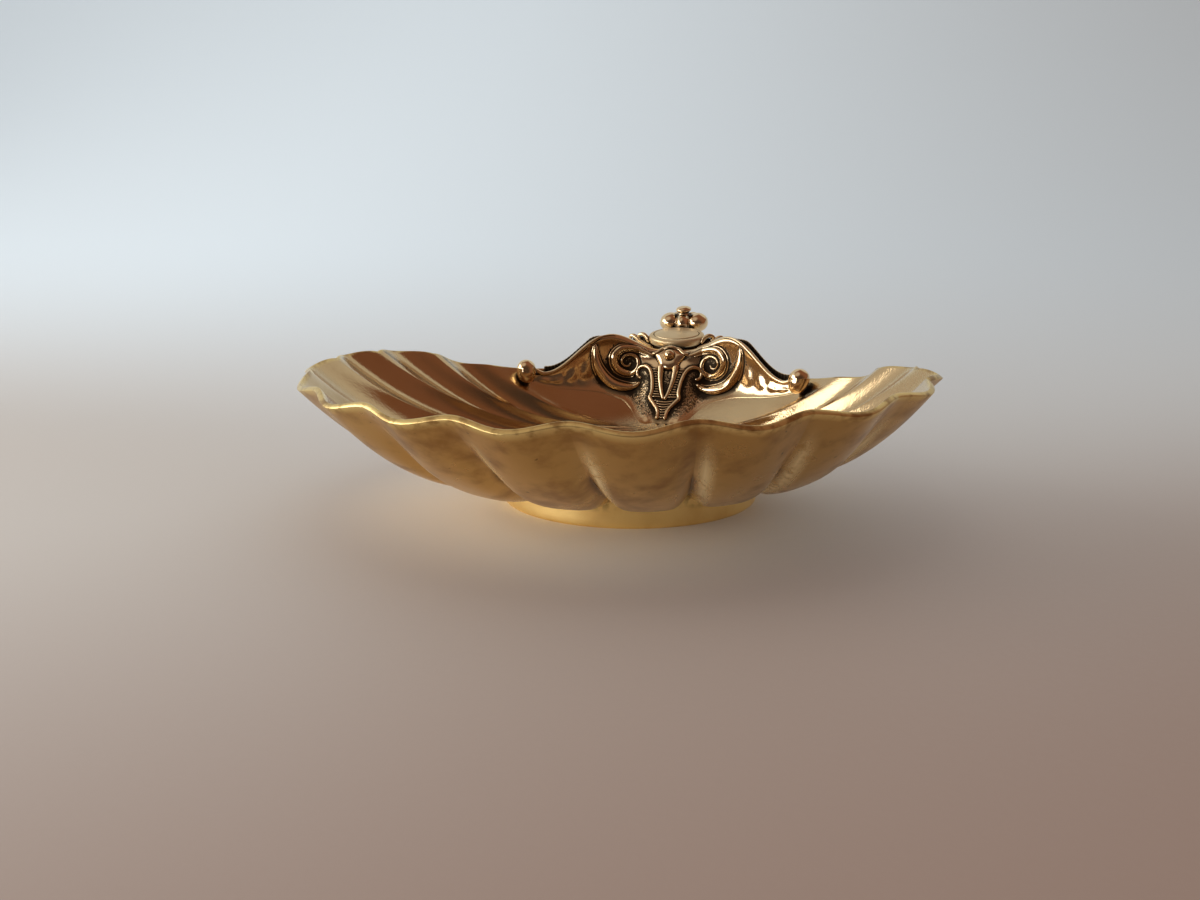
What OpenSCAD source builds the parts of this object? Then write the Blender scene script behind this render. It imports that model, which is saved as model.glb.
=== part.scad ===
// Baptismal shell: a fluted brass scallop bowl on a round foot, with a scrolled crest as its handle.
// Millimetres, +Z up. The origin is the middle of the foot on the table.
// -Y is the pouring edge, +Y the crest.

/* [Bowl] */
// Half of the bowl's width at the rim, measured on the ribs
half_w = 64; // [60:0.5:68]
// From the middle of the rim to its front edge
rim_front = 59.5; // [56:0.5:64]
// From the middle of the rim to its back edge under the crest
rim_back = 64.5; // [62:0.5:67]
// How far the middle of the rim lies in front of the foot
rim_shift = 15.5; // [13:0.5:17]
// Shape of the back half: 2 is a plain oval, less draws it out to a beak
back_power = 1.7; // [1.6:0.05:1.9]
// Height of the rim at the pouring edge
front_z = 31; // [28:0.5:34]
// Height of the rim at the sides
side_z = 32.8; // [31.5:0.1:34]
// How far the rim falls from the sides to the crest
hinge_drop = 8; // [7:0.1:9]
// Height of the inside bottom
bottom_z = 7.8; // [6.8:0.1:8.8]
// Flat part of the bottom as a share of the bowl
flat_share = 0.22; // [0.18:0.01:0.26]
// Fullness of the wall at the front and the sides
side_rise = 2.6; // [2.2:0.1:2.8]
// Fullness of the wall at the back
back_rise = 3; // [2.6:0.1:3.4]
// Thickness of the wall
wall = 1.5; // [1.2:0.1:2]
// Thickness of the wall at the rim
rim_wall = 1.1; // [0.9:0.1:1.4]

/* [Flutes] */
// Number of flutes between the two wings of the crest
lobe_count = 15; // [13:2:17]
// Angle from the front at which the outermost ribs reach the rim
fan_half = 132; // [128:1:136]
// How far the side ribs lean towards the crest, in degrees
rib_sway = 5; // [0:0.5:6]
// Depth of a flute at the rim
flute_depth = 2; // [1.4:0.1:2.4]
// How far the side lobes reach past the ribs at the rim
petal_reach = 1.5; // [0:0.1:2.4]
// Distance behind the foot's middle at which the flutes meet
fan_y = 30; // [27:0.5:32]
// How strongly the flutes curve open: 1 is straight
fan_power = 0.75; // [0.7:0.01:0.9]
// Share of the bowl at which the flutes begin
flute_start = 0.2; // [0.15:0.01:0.3]
// Share of the bowl at which the flutes reach their full depth
flute_full = 0.6; // [0.5:0.01:0.7]

/* [Foot] */
// Outside diameter of the foot
foot_d = 59.6; // [54:0.2:64]
// Thickness of the foot's wall
foot_wall = 2.2; // [1.6:0.1:3]

/* [Crest] */
// Distance from the back rim to the front face of the crest
crest_inset = 3.2; // [3:0.1:3.6]
// Half of the straight middle of the crest
crest_flat = 9; // [8.4:0.1:9.6]
// Half of the flat width of the tongue under the strap
tongue_half = 3.4; // [2.6:0.1:4.6]
// How fast the wings run forward from the middle, as a slope
wing_slope = 0.58; // [0.56:0.01:0.6]
// Half of the crest's length between the balls
wing_reach = 35.4; // [34.5:0.1:36]
// Distance from the end of a wing to the dip in its upper edge
dip_inset = 2.4; // [1.8:0.1:3]
// Thickness of the crest plate
plate_t = 1.8; // [1.4:0.1:2]
// Height of the shoulders above the hinge of the rim
shoulder_h = 9.4; // [8.5:0.1:10.5]
// Half of the distance between the shoulders
shoulder_x = 16.5; // [16:0.1:17]
// Depth of the dip beside each ball below the hinge of the rim
dip_drop = 0.9; // [0.4:0.1:1]
// Height of the saddle in the middle above the hinge of the rim
saddle_h = 5.1; // [4.7:0.1:5.5]
// How far the tongue under the strap reaches into the bowl
tongue_reach = 11.6; // [10.5:0.1:12.5]
// Thickness of the ribbed strip behind each wing
gallery_t = 1.2; // [0.8:0.1:1.2]
// How far the ribbed strip stands above the wing's edge
gallery_h = 1.8; // [1.2:0.1:2.4]
// Number of ribs on each strip
gallery_ribs = 16; // [10:1:18]
// Diameter of the balls
ball_d = 5; // [4.4:0.1:5.6]

/* [Scrolls] */
// Distance of a scroll's eye from the middle of the crest
eye_x = 12.8; // [12.4:0.1:13.2]
// Depth of a scroll's eye below the shoulder
eye_drop = 6.3; // [6:0.1:6.6]
// Outer radius of a scroll
scroll_r = 4.1; // [3.8:0.1:4.2]
// Half of the width of the scroll's band
band_r = 1.1; // [0.8:0.05:1.15]
// Half of the greatest width of the outer crescent
crescent_r = 1.2; // [0.9:0.05:1.25]

/* [Strap] */
// Thickness of the strap
strap_t = 1.3; // [1:0.1:1.6]
// Half of the strap's width at its belly
strap_half_w = 4; // [3.8:0.1:4.2]
// Half of the distance between the strap's hooks
hook_x = 7; // [6.6:0.1:7.3]
// Half of the width of a rail
rail_r = 0.55; // [0.4:0.05:0.6]
// Number of rungs on each side
rung_count = 9; // [6:1:10]
// Diameter of the boss
boss_d = 6.8; // [6:0.1:7.2]

/* [Medallion] */
// Half of the medallion's width
oval_w = 8; // [7.5:0.1:8.5]
// Half of the medallion's length
oval_l = 6.5; // [6:0.1:6.8]
// Tilt of the medallion
oval_tilt = 14; // [12:0.5:16]
// Thickness of the medallion's rim
oval_t = 2.2; // [1.8:0.1:2.6]
// Width of the border around the plate
border_w = 1.4; // [1:0.1:1.8]
// Length of a leaf beside the medallion
leaf_l = 5; // [4:0.1:6]
// Width of the arm under the medallion
arm_w = 7; // [5:0.1:9]

/* [Finial] */
// Half of the flower's width
flower_r = 6.6; // [5.6:0.1:7.2]
// Height of the flower
flower_h = 4.4; // [3.6:0.1:5]
// Number of petals
petal_count = 5; // [5:1:8]
// Diameter of the bead
bead_d = 3; // [2.4:0.1:3.6]

/* [Fits] */
// Solder gap between two pieces
gap = 0.1; // [0.08:0.01:0.15]
// Solder gap along an edge that is scribed to the bowl
bed_gap = 0.3; // [0.25:0.01:0.4]

/* [Hidden] */
$fn = 64;

// Colours of polished brass, satin brass and the paler medallion
polished = [0.83, 0.68, 0.36];
satin = [0.74, 0.6, 0.34];
pale = [0.86, 0.77, 0.52];

// Steps of the bowl's surface across one flute, across the smooth back, and from the fan's point to the rim
lobe_steps = 6;
back_steps = 18;
fan_steps = 20;

// How much closer the rows lie near the fan's point: 1 is even
row_power = 1.25;

// Steps around the foot's scribed edge
foot_steps = 180;

// Back edge of the rim and its height
hinge_y = rim_back - rim_shift;
hinge_z = side_z - hinge_drop;

// Part of the back half over which the rim has come down to the hinge
hinge_share = 0.85;

function mix(a, b, t) = a + (b - a) * t;
function smooth(t) = let (u = min(1, max(0, t))) u * u * (3 - 2 * u);

// The bowl is a nest of outlines that shrink towards the foot.
// How far a plan point lies out in outline r, 1 is on it.
function outline_at(x, y, r) =
    let (dy = y + rim_shift * r, back = dy > 0, p = back ? back_power : 2, b = back ? rim_back : rim_front)
    pow(abs(x) / (half_w * r), p) + pow(abs(dy) / (b * r), p);

// The outline that a plan point lies on: 0 over the foot's middle, 1 at the rim
function level(x, y, low = 0.0001, high = 1.5, n = 20) =
    let (mid = (low + high) / 2)
    n == 0 ? mid : outline_at(x, y, mid) < 1 ? level(x, y, low, mid, n - 1) : level(x, y, mid, high, n - 1);

// Angle of a plan point on its outline, 0 at the front and 180 at the crest
function turn(x, y, r) =
    let (dy = y + rim_shift * r)
    atan2(abs(x) / half_w, -dy / (dy > 0 ? rim_back : rim_front));

function rim_z(a) =
    a < 90 ? mix(front_z, side_z, pow(sin(a), 2))
           : side_z - hinge_drop * pow(sin(90 * min(1, -cos(a) / hinge_share)), 4);

// Height of the bowl's smooth inside, before the flutes
function base_z(x, y) =
    let (r = level(x, y), a = turn(x, y, r), n = mix(side_rise, back_rise, pow(max(0, -cos(a)), 2)))
    bottom_z + (rim_z(a) - bottom_z) * pow(max(0, (r - flat_share) / (1 - flat_share)), n);

// Direction that points out of the inside surface
function base_normal(x, y) =
    let (h = 0.1,
         gx = (base_z(x + h, y) - base_z(x - h, y)) / (2 * h),
         gy = (base_z(x, y + h) - base_z(x, y - h)) / (2 * h))
    [-gx, -gy, 1] / norm([gx, gy, 1]);

// Plan point of the rim at an angle from the front
function rim_point(a) =
    let (b = abs(a),
         p = 2 / (b < 90 ? 2 : back_power),
         side = a < 0 ? -1 : 1,
         reach = b < 90 ? -rim_front * cos(b) : rim_back * pow(-cos(b), p))
    [side * half_w * pow(sin(b), p), reach - rim_shift];

// Plan point on the line from the fan's point to the rim, s is 1 at the rim
function fan_point(a, s) =
    let (q = rim_point(a))
    [q[0] * pow(s, fan_power), mix(fan_y, q[1], s)];

// Share of the fan, from the front, in which the ribs stand evenly before they lean
even_share = 0.35;

// Angle at which the rib line t reaches the rim, t is 0 at the front and 1 at the last rib
function rib_angle(t) =
    let (b = abs(t), lean = max(0, (b - even_share) / (1 - even_share)))
    (t < 0 ? -1 : 1) * (fan_half * b + rib_sway * sin(180 * lean));

// Rib line through a plan point, found between the front and the last rib
function rib_line(x, y, low = 0, high = 1, n = 14) =
    let (t = (low + high) / 2, q = rim_point(rib_angle(t)), s = pow(abs(x) / q[0], 1 / fan_power))
    n == 0 ? t : mix(fan_y, q[1], s) > y ? rib_line(x, y, low, t, n - 1) : rib_line(x, y, t, high, n - 1);

// Smooth spot around the fan's point, and the length over which the flutes deepen from it
fan_clear = 5;
fan_fade = 24;

// Roundness of a flute: 2 is a parabola, more has a flatter bottom
lobe_power = 2.2;

// Depth of the flutes across one lobe, u runs from -1 to 1
function lobe_shape(u) = 1 - pow(abs(u), lobe_power);
function lobe_across(t) =
    let (k = (t + 1) / 2 * lobe_count)
    abs(t) >= 1 ? 0 : lobe_shape(2 * (k - floor(k)) - 1);
function flute_fade(x, y) =
    flute_depth * smooth((level(x, y) - flute_start) / (flute_full - flute_start))
                * smooth((norm([x, y - fan_y]) - fan_clear) / fan_fade);

// Share of the bowl in which the wall keeps its full thickness
full_wall = 0.75;

// Thickness of the wall, thinner towards the rim
function wall_at(x, y) = mix(wall, rim_wall, smooth((level(x, y) - full_wall) / (1 - full_wall)));

// Rim angles between which the side lobes come out past the ribs, and between which they go back
petal_in = [50, 100];
petal_out = [100, 140];
function ramp(a, ends) = smooth((a - ends[0]) / (ends[1] - ends[0]));

// How far a column of the bowl runs past the rim line
function column_end(a, lobe) =
    let (side = ramp(abs(a), petal_in) - ramp(abs(a), petal_out))
    1 + petal_reach * lobe * side / norm(rim_point(a) - [0, fan_y]);

// Underside of the bowl above a plan point, with the normal followed back to the inside
function under_z(x, y, px, py, n = 3) =
    let (v = base_normal(px, py),
         d = wall_at(px, py) + flute_fade(px, py) * lobe_across(rib_line(px, py)))
    n == 0 ? base_z(px, py) - d * v[2] : under_z(x, y, x + d * v[0], y + d * v[1], n - 1);

// Solid from rings of points: each ring has the same number, closed joins the last ring to the first.
// With a cap, the end faces fan out from that point of the ring.
module loft(rings, closed = false, cap = undef) {
    n = len(rings);
    m = len(rings[0]);
    last = closed ? n - 1 : n - 2;
    sides = [for (i = [0 : last]) for (j = [0 : m - 1])
        let (k = (j + 1) % m, low = i * m, high = (i + 1) % n * m)
        each [[low + j, high + k, low + k], [low + j, high + j, high + k]]];
    start = is_undef(cap) ? [[for (j = [0 : m - 1]) j]]
                          : [for (j = [2 : m - 1]) [cap, (cap + j - 1) % m, (cap + j) % m]];
    finish = [for (face = start) [for (k = [len(face) - 1 : -1 : 0]) (n - 1) * m + face[k]]];
    ends = closed ? [] : concat(start, finish);
    polyhedron(points = [for (r = rings) each r], faces = concat(sides, ends), convexity = 8);
}

// Columns of the bowl's surface as rim angle and flute depth, once around
bowl_columns = concat(
    [for (i = [0 : lobe_count * lobe_steps - 1])
        let (t = 2 * i / (lobe_count * lobe_steps) - 1, u = 2 * (i % lobe_steps) / lobe_steps - 1)
        [rib_angle(t), lobe_shape(u)]],
    [for (i = [0 : back_steps - 1])
        let (a = mix(fan_half, 360 - fan_half, i / back_steps)) [a > 180 ? a - 360 : a, 0]]);

// One point of the bowl, on the inside or on the underside
function bowl_point(column, t, under) =
    let (p = fan_point(column[0], t * column_end(column[0], column[1])),
         v = base_normal(p[0], p[1]),
         d = column[1] * flute_fade(p[0], p[1]) + (under ? wall_at(p[0], p[1]) : 0))
    [p[0], p[1], base_z(p[0], p[1])] - d * v;

// Inside points from the fan's point to the rim, then back along the underside
module shell_bowl() {
    n = len(bowl_columns);
    steps = [for (i = [1 : fan_steps]) pow(i / fan_steps, row_power)];
    inside = [for (s = steps) [for (c = bowl_columns) bowl_point(c, s, false)]];
    under = [for (i = [fan_steps - 1 : -1 : 0]) [for (c = bowl_columns) bowl_point(c, steps[i], true)]];
    rings = concat(inside, under);
    count = len(rings) * n;
    tip = [0, fan_y, base_z(0, fan_y)];
    tip_under = tip - wall_at(0, fan_y) * base_normal(0, fan_y);
    sides = [for (i = [0 : len(rings) - 2]) for (j = [0 : n - 1])
        let (a = i * n + j, b = i * n + (j + 1) % n)
        each [[a, b + n, a + n], [a, b, b + n]]];
    ends = [for (j = [0 : n - 1])
        let (k = (j + 1) % n)
        each [[count, k, j], [count + 1, count - n + j, count - n + k]]];
    points = concat([for (r = rings) each r], [tip, tip_under]);
    color(satin)
    polyhedron(points = points, faces = concat(sides, ends), convexity = 8);
}

// Plain round tube, its top edge cut to the lobes above it
module foot_ring() {
    outer = foot_d / 2;
    inner = outer - foot_wall;
    past = 0.3;
    top = side_z;
    rows = 6;
    color(satin)
    difference() {
        cylinder(h = bottom_z * 2, r = outer);
        translate([0, 0, -1]) cylinder(h = bottom_z * 2 + 2, r = inner);
        loft([for (i = [0 : foot_steps - 1])
            let (a = -360 * i / foot_steps, near = inner - past, far = outer + past)
            concat(
                [for (k = [0 : rows])
                    let (r = mix(near, far, k / rows), x = r * cos(a), y = r * sin(a))
                    [x, y, under_z(x, y, x, y) - bed_gap]],
                [[far * cos(a), far * sin(a), top], [near * cos(a), near * sin(a), top]])], closed = true);
    }
}

// Half of the level middle of the crest's upper edge, and the dips beside its balls
saddle_x = 4.2;
dip_x = wing_reach - dip_inset;

// Half a wave from 0 to 1
function wave(t) = (1 - cos(180 * min(1, max(0, t)))) / 2;

// Front of the crest in plan, and its upper edge from the saddle up to the shoulder and down to the dip
function crest_y(x) = hinge_y - crest_inset - wing_slope * max(0, abs(x) - crest_flat);
function crest_top(x) =
    let (b = abs(x))
    hinge_z + (b > shoulder_x
        ? mix(shoulder_h, -dip_drop, wave((b - shoulder_x) / (dip_x - shoulder_x)))
        : mix(saddle_h, shoulder_h, wave((b - saddle_x) / (shoulder_x - saddle_x))));

// Foot of the tongue in the middle plane and the slope of its face up to the saddle
tongue_y = crest_y(0) - tongue_reach;
tongue_z = base_z(0, tongue_y) + bed_gap;
tongue_l = norm([tongue_reach, crest_top(0) - tongue_z]);
tongue_tilt = atan2(crest_top(0) - tongue_z, tongue_reach);

// Width over which the tongue's sides run back to the wings
tongue_fade = 9;

// Where the tongue's flat face meets the bowl, away from the middle plane
function tongue_foot(x, low = 0, high = tongue_reach, n = 14) =
    let (d = (low + high) / 2, over = tongue_z + d * tan(tongue_tilt) - base_z(x, tongue_y + d) - bed_gap)
    n == 0 ? tongue_y + d : over > 0 ? tongue_foot(x, low, d, n - 1) : tongue_foot(x, d, high, n - 1);

// Lower edge of the crest's face: the tongue in the middle, the foot of the standing wings outside
function face_foot_y(x) =
    let (tongue = min(tongue_foot(min(abs(x), crest_flat)), crest_y(x)))
    mix(tongue, crest_y(x), smooth((abs(x) - tongue_half) / tongue_fade));
function face_y(x, z) =
    let (y0 = face_foot_y(x), z0 = base_z(x, y0) + bed_gap, t = (z - z0) / (crest_top(x) - z0))
    mix(y0, crest_y(x), min(1, max(0, t)));

// Direction that points out of the crest's face
function face_normal(x, z) =
    let (h = 0.2,
         gx = (face_y(x + h, z) - face_y(x - h, z)) / (2 * h),
         gz = (face_y(x, z + h) - face_y(x, z - h)) / (2 * h))
    [gx, -1, gz] / norm([gx, 1, gz]);

// Standing plate with the wings and the tongue, its lower side laid on the bowl
module crest_plate() {
    steps = 80;
    bed = 4;
    rows = 4;
    color(polished)
    loft([for (i = [0 : steps])
        let (x = mix(-wing_reach, wing_reach, i / steps),
             y0 = face_foot_y(x),
             y1 = crest_y(x),
             z0 = base_z(x, y0) + bed_gap,
             z1 = crest_top(x))
        concat(
            [for (k = [0 : bed]) let (y = mix(y0, y1 + plate_t, k / bed)) [x, y, base_z(x, y) + bed_gap]],
            [[x, y1 + plate_t, z1]],
            [for (k = [rows : -1 : 1]) [x, mix(y0, y1, k / rows), mix(z0, z1, k / rows)]])], cap = bed + 1);
}

// Ribbed strip behind a wing, from the dip up to the shoulder
module gallery(side) {
    per_rib = 4;
    rib_h = 0.4;
    count = gallery_ribs * per_rib;
    x0 = dip_x;
    x1 = shoulder_x + 3;
    end_share = 0.25;
    color(polished)
    loft([for (i = [0 : count])
        let (x = mix(x0, x1, (side < 0 ? i : count - i) / count),
             y0 = crest_y(x) + plate_t + gap,
             y1 = y0 + gallery_t,
             full = min(1, (x - x1) / (x0 - x1) / end_share),
             rise = gallery_h * full - rib_h * (1 - cos(360 * i / per_rib)) / 2,
             z1 = crest_top(x) + max(0, rise))
        [[side * x, y0, base_z(x, y0) + bed_gap],
         [side * x, y1, base_z(x, y1) + bed_gap],
         [side * x, y1, z1],
         [side * x, y0, z1]]]);
}

// Half-round band laid on the crest's face along a path of x, z and half width
module face_band(path, side) {
    arc = [180 : -30 : 0];
    n = len(path);
    dome = 0.9;
    lift = 1.5 * gap;
    rings = [for (i = [0 : n - 1])
        let (p = path[i],
             ahead = path[min(n - 1, i + 1)] - path[max(0, i - 1)],
             across = [-ahead[1], ahead[0]] / norm([ahead[0], ahead[1]]),
             v = face_normal(p[0], p[1]))
        [for (a = arc)
            let (x = p[0] + across[0] * p[2] * cos(a),
                 z = p[1] + across[1] * p[2] * cos(a),
                 q = [x, face_y(x, z), z] + v * (lift + dome * p[2] * sin(a)))
            [side * q[0], q[1], q[2]]]];
    color(polished)
    loft(side < 0 ? rings : [for (i = [n - 1 : -1 : 0]) rings[i]]);
}

// Eye of a scroll on the crest's face
eye_z = hinge_z + shoulder_h - eye_drop;

// Band that leaves the boss, follows the crest's edge and winds in to its eye
module volute(side) {
    start_x = boss_d / 2 + 0.6;
    start_share = 0.6;
    end_share = 0.62;
    eye_r = 0.5;
    closing = 0.8;
    edge_steps = 8;
    coil_steps = 40;
    coil_turn = 430;
    below = crest_top(eye_x) - eye_z - scroll_r;
    edge = [for (i = [0 : edge_steps - 1])
        let (t = i / edge_steps, x = mix(start_x, eye_x, t))
        [x, crest_top(x) - below, mix(start_share, 1, t) * band_r]];
    coil = [for (i = [0 : coil_steps])
        let (t = i / coil_steps, r = mix(scroll_r, eye_r, pow(t, closing)), a = 90 - coil_turn * t)
        [eye_x + r * cos(a), eye_z + r * sin(a), mix(1, end_share, smooth(t)) * band_r]];
    face_band(concat(edge, coil), side);
}

// Outer C-scroll that hangs from the shoulder and tapers to both ends
module crescent(side) {
    steps = 16;
    clear = 0.6;
    reach = scroll_r + band_r + crescent_r + clear;
    arc = [32, -62];
    tip_r = 0.3;
    face_band([for (i = [0 : steps])
        let (t = i / steps, a = mix(arc[0], arc[1], t))
        [eye_x + reach * cos(a), eye_z + reach * sin(a), mix(tip_r, crescent_r, sin(180 * t))]], side);
}

// Ball end of a wing, laid against the bowl beside the end of the crest
module ball(side) {
    r = ball_d / 2;
    clear = 0.3;
    back = 0.6;
    x = wing_reach + r + clear;
    y = crest_y(x) + back;
    v = base_normal(x, y);
    color(polished)
    translate([side * x, y, base_z(x, y)] + [side * v[0], v[1], v[2]] * (r + gap))
        sphere(r);
}

// Puts a flat piece on the tongue: X across, Y up the slope from the tongue's tip, Z out of the face
module on_tongue(h = 0) {
    translate([0, tongue_y, tongue_z])
        rotate([tongue_tilt, 0, 0])
            translate([0, 0, gap + h])
                children();
}

// Outline of a ribbon along a path of points
function ribbon(path, r) =
    let (n = len(path),
         across = [for (i = [0 : n - 1])
             let (d = path[min(n - 1, i + 1)] - path[max(0, i - 1)]) [-d[1], d[0]] * r / norm(d)])
    concat([for (i = [0 : n - 1]) path[i] + across[i]], [for (i = [n - 1 : -1 : 0]) path[i] - across[i]]);

// Height of the boss's middle on the strap, of the V's point, and of the lowest and the highest rung
boss_v = tongue_l - 2.4;
brace_v = tongue_l * 0.3;
rung_low = tongue_l * 0.35;
rung_high = tongue_l * 0.66;

// Half of the strap's width at its foot, the share of its length where it is widest,
// and how much it draws in above that
strap_foot = rail_r * 1.8;
belly_share = 0.36;
draw_in = 0.5;
draw_share = [0.45, 0.65];

// Half of the distance between the outer rails, and between the inner rails, at a height on the strap
function rail_x(v) =
    let (t = v / tongue_l)
    mix(strap_foot, strap_half_w, sin(90 * min(1, t / belly_share))) - draw_in * ramp(t, draw_share);
function brace_x(v) = mix(rail_r, boss_d * 0.4, (v - brace_v) / (boss_v - brace_v));

// Lyre of two outer rails that end in hooks, with two inner rails in a V up to the boss
module strap_frame() {
    steps = 14;
    hook_v = tongue_l * 0.7;
    hook_r = (hook_x - rail_x(hook_v)) / 2;
    low_v = 1;
    bar_half = 1.2;
    rail = concat(
        [for (i = [0 : steps]) let (v = mix(low_v, hook_v, i / steps)) [rail_x(v), v]],
        [for (a = [150 : -30 : -30]) [rail_x(hook_v) + hook_r * (1 + cos(a)), hook_v + hook_r * sin(a)]]);
    brace = [[brace_x(brace_v), brace_v], [brace_x(boss_v), boss_v]];
    color(polished)
    on_tongue() {
        for (side = [-1, 1], path = [rail, brace])
            linear_extrude(strap_t) polygon(ribbon([for (p = path) [side * p[0], p[1]]], rail_r));
        translate([-rail_x(low_v) - rail_r, low_v - rail_r, 0])
            cube([2 * (rail_x(low_v) + rail_r), 2 * rail_r, strap_t]);
        translate([-rail_r, low_v, 0]) cube([2 * rail_r, brace_v + rail_r - low_v, strap_t]);
        translate([-brace_x(boss_v), boss_v - bar_half, 0])
            cube([2 * brace_x(boss_v), 2 * bar_half, strap_t]);
    }
}

// Small rungs between the inner and the outer rails
module strap_rungs() {
    rung_r = 0.25;
    rung_t = strap_t * 0.7;
    clear = rail_r * 1.1 + gap;
    color(polished)
    on_tongue() linear_extrude(rung_t)
        for (side = [-1, 1], i = [0 : rung_count - 1])
            scale([side, 1])
                let (v = mix(rung_low, rung_high, i / (rung_count - 1)),
                     a = brace_x(v) + clear,
                     b = rail_x(v) - clear)
                translate([a, v - rung_r]) square([b - a, 2 * rung_r]);
}

// Dome that closes the top of the strap
module strap_boss() {
    r = boss_d / 2;
    dome_h = r * 0.75;
    color(polished)
    on_tongue(strap_t + gap) translate([0, boss_v, 0]) rotate_extrude()
        polygon(concat([[0, 0]], [for (a = [0 : 10 : 80]) [r * cos(a), dome_h * sin(a)]], [[0, dome_h]]));
}

// The medallion rests on the arm with its front edge just behind the boss
rest_y = crest_y(0) + 0.8;
rest_z = crest_top(0) + gap;

// Puts a piece on the arm: X across, Y up the slope from the medallion's middle, Z out of its face
module on_arm(v = 0, h = 0) {
    translate([0, rest_y, rest_z])
        rotate([oval_tilt, 0, 0])
            translate([0, oval_l + v, h])
                children();
}

module oval(a, b) {
    polygon([for (t = [0 : 7.5 : 352.5]) [a * cos(t), b * sin(t)]]);
}

// Height of the plate's seat in the medallion
seat_h = oval_t * 0.4;

// Oval border with the seat for its plate
module medallion_rim() {
    color(polished)
    on_arm(0, gap)
        difference() {
            linear_extrude(oval_t) oval(oval_w, oval_l);
            translate([0, 0, seat_h])
                linear_extrude(oval_t) oval(oval_w - border_w, oval_l - border_w);
        }
}

// Plain thumb plate in the border
module medallion_plate() {
    inset = border_w + gap;
    color(pale)
    on_arm(0, seat_h + 2 * gap)
        linear_extrude(oval_t - seat_h) oval(oval_w - inset, oval_l - inset);
}

// Leaf that curls out beside the medallion
module leaf(side) {
    leaf_t = oval_t * 0.8;
    leaf_w = leaf_l * 0.34;
    rise = 0.8;
    under = 1;
    belly = 1.2;
    taper = 0.5;
    color(polished)
    on_arm(0, gap) linear_extrude(leaf_t)
        difference() {
            translate([side * (oval_w - under), rise])
                polygon([for (t = [0 : 10 : 350])
                    let (along = (1 - cos(t)) / 2)
                    [side * (leaf_l + under) * along,
                     leaf_w * (sin(t) * (belly - taper * cos(t)) + along)]]);
            oval(oval_w + gap, oval_l + gap);
        }
}

// Foot of the finial, measured up the slope from the medallion's middle
finial_v = oval_l + flower_r * 0.72;

// Arm from the back of the crest to the finial, clear of the rim below it
module handle_arm() {
    clear = 0.6;
    heel = 0.4;
    y0 = crest_y(0) + plate_t + gap;
    z0 = hinge_z + clear;
    slope = tan(oval_tilt);
    y1 = rest_y + (oval_l + finial_v + flower_r * 0.3) * cos(oval_tilt);
    tip_t = 2.4;
    color(polished)
    translate([-arm_w / 2, 0, 0]) rotate([90, 0, 90]) linear_extrude(arm_w)
        polygon([[y0, z0],
                 [hinge_y + wall, z0 + heel],
                 [y1, rest_z + (y1 - rest_y) * slope - tip_t],
                 [y1, rest_z + (y1 - rest_y) * slope],
                 [y0, rest_z + (y0 - rest_y) * slope]]);
}

// Lobed flower, a dome of petals
module finial_flower() {
    steps = petal_count * 10;
    rows = [[1, 0], [1.04, 0.2], [0.98, 0.5], [0.78, 0.8], [0.5, 0.95], [0.24, 1]];
    depth = 0.72;
    notch = 0.2;
    color(polished)
    on_arm(finial_v, gap)
        loft([for (row = rows)
            [for (i = [0 : steps - 1])
                let (a = 360 * i / steps,
                     petal = abs(cos(petal_count * (a - 90) / 2)),
                     r = flower_r * row[0] * (1 - notch * (1 - petal) * row[0]))
                [r * cos(a), depth * r * sin(a), flower_h * row[1]]]]);
}

// Bead on the flower
module finial_bead() {
    color(polished)
    on_arm(finial_v, flower_h + 2 * gap + bead_d / 2)
        sphere(bead_d / 2);
}

shell_bowl();
foot_ring();
crest_plate();
gallery(-1);  // left_gallery
gallery(1);  // right_gallery
volute(-1);  // left_volute
volute(1);  // right_volute
crescent(-1);  // left_crescent
crescent(1);  // right_crescent
ball(-1);  // left_ball
ball(1);  // right_ball
strap_frame();
strap_rungs();
strap_boss();
handle_arm();
medallion_rim();
medallion_plate();
leaf(-1);  // left_leaf
leaf(1);  // right_leaf
finial_flower();
finial_bead();
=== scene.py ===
"""Looks of a brass baptismal shell: a fluted scallop bowl on a round foot, with a scrolled crest.

Sizes are in millimetres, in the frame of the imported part, and become metres when a mesh is placed.
"""

from __future__ import annotations

import logging
import math
from dataclasses import dataclass
from enum import Enum
from typing import Callable, Iterable, Mapping, Sequence

import bpy
import numpy as np
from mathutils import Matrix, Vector
from mathutils.bvhtree import BVHTree

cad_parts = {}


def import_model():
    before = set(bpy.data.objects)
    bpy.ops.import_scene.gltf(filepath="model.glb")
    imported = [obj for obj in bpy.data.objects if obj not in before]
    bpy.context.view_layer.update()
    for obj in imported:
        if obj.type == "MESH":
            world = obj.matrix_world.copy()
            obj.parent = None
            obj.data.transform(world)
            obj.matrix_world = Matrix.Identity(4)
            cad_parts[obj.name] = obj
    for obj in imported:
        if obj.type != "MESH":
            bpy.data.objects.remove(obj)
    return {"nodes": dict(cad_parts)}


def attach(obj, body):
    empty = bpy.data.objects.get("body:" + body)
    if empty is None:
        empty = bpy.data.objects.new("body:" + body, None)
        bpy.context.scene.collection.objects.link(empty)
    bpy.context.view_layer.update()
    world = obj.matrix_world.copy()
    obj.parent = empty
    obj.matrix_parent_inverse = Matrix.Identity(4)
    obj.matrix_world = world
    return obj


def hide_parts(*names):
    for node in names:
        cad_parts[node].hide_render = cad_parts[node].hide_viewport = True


MM = 0.001
Array = np.ndarray
Colour = tuple[float, float, float]
SPLINE_STEPS = 24
log = logging.getLogger("shell")


def mix(low: Array | float, high: Array | float, share: Array | float) -> Array | float:
    """Value between low and high at a share from 0 to 1."""
    return low + (high - low) * share


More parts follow.
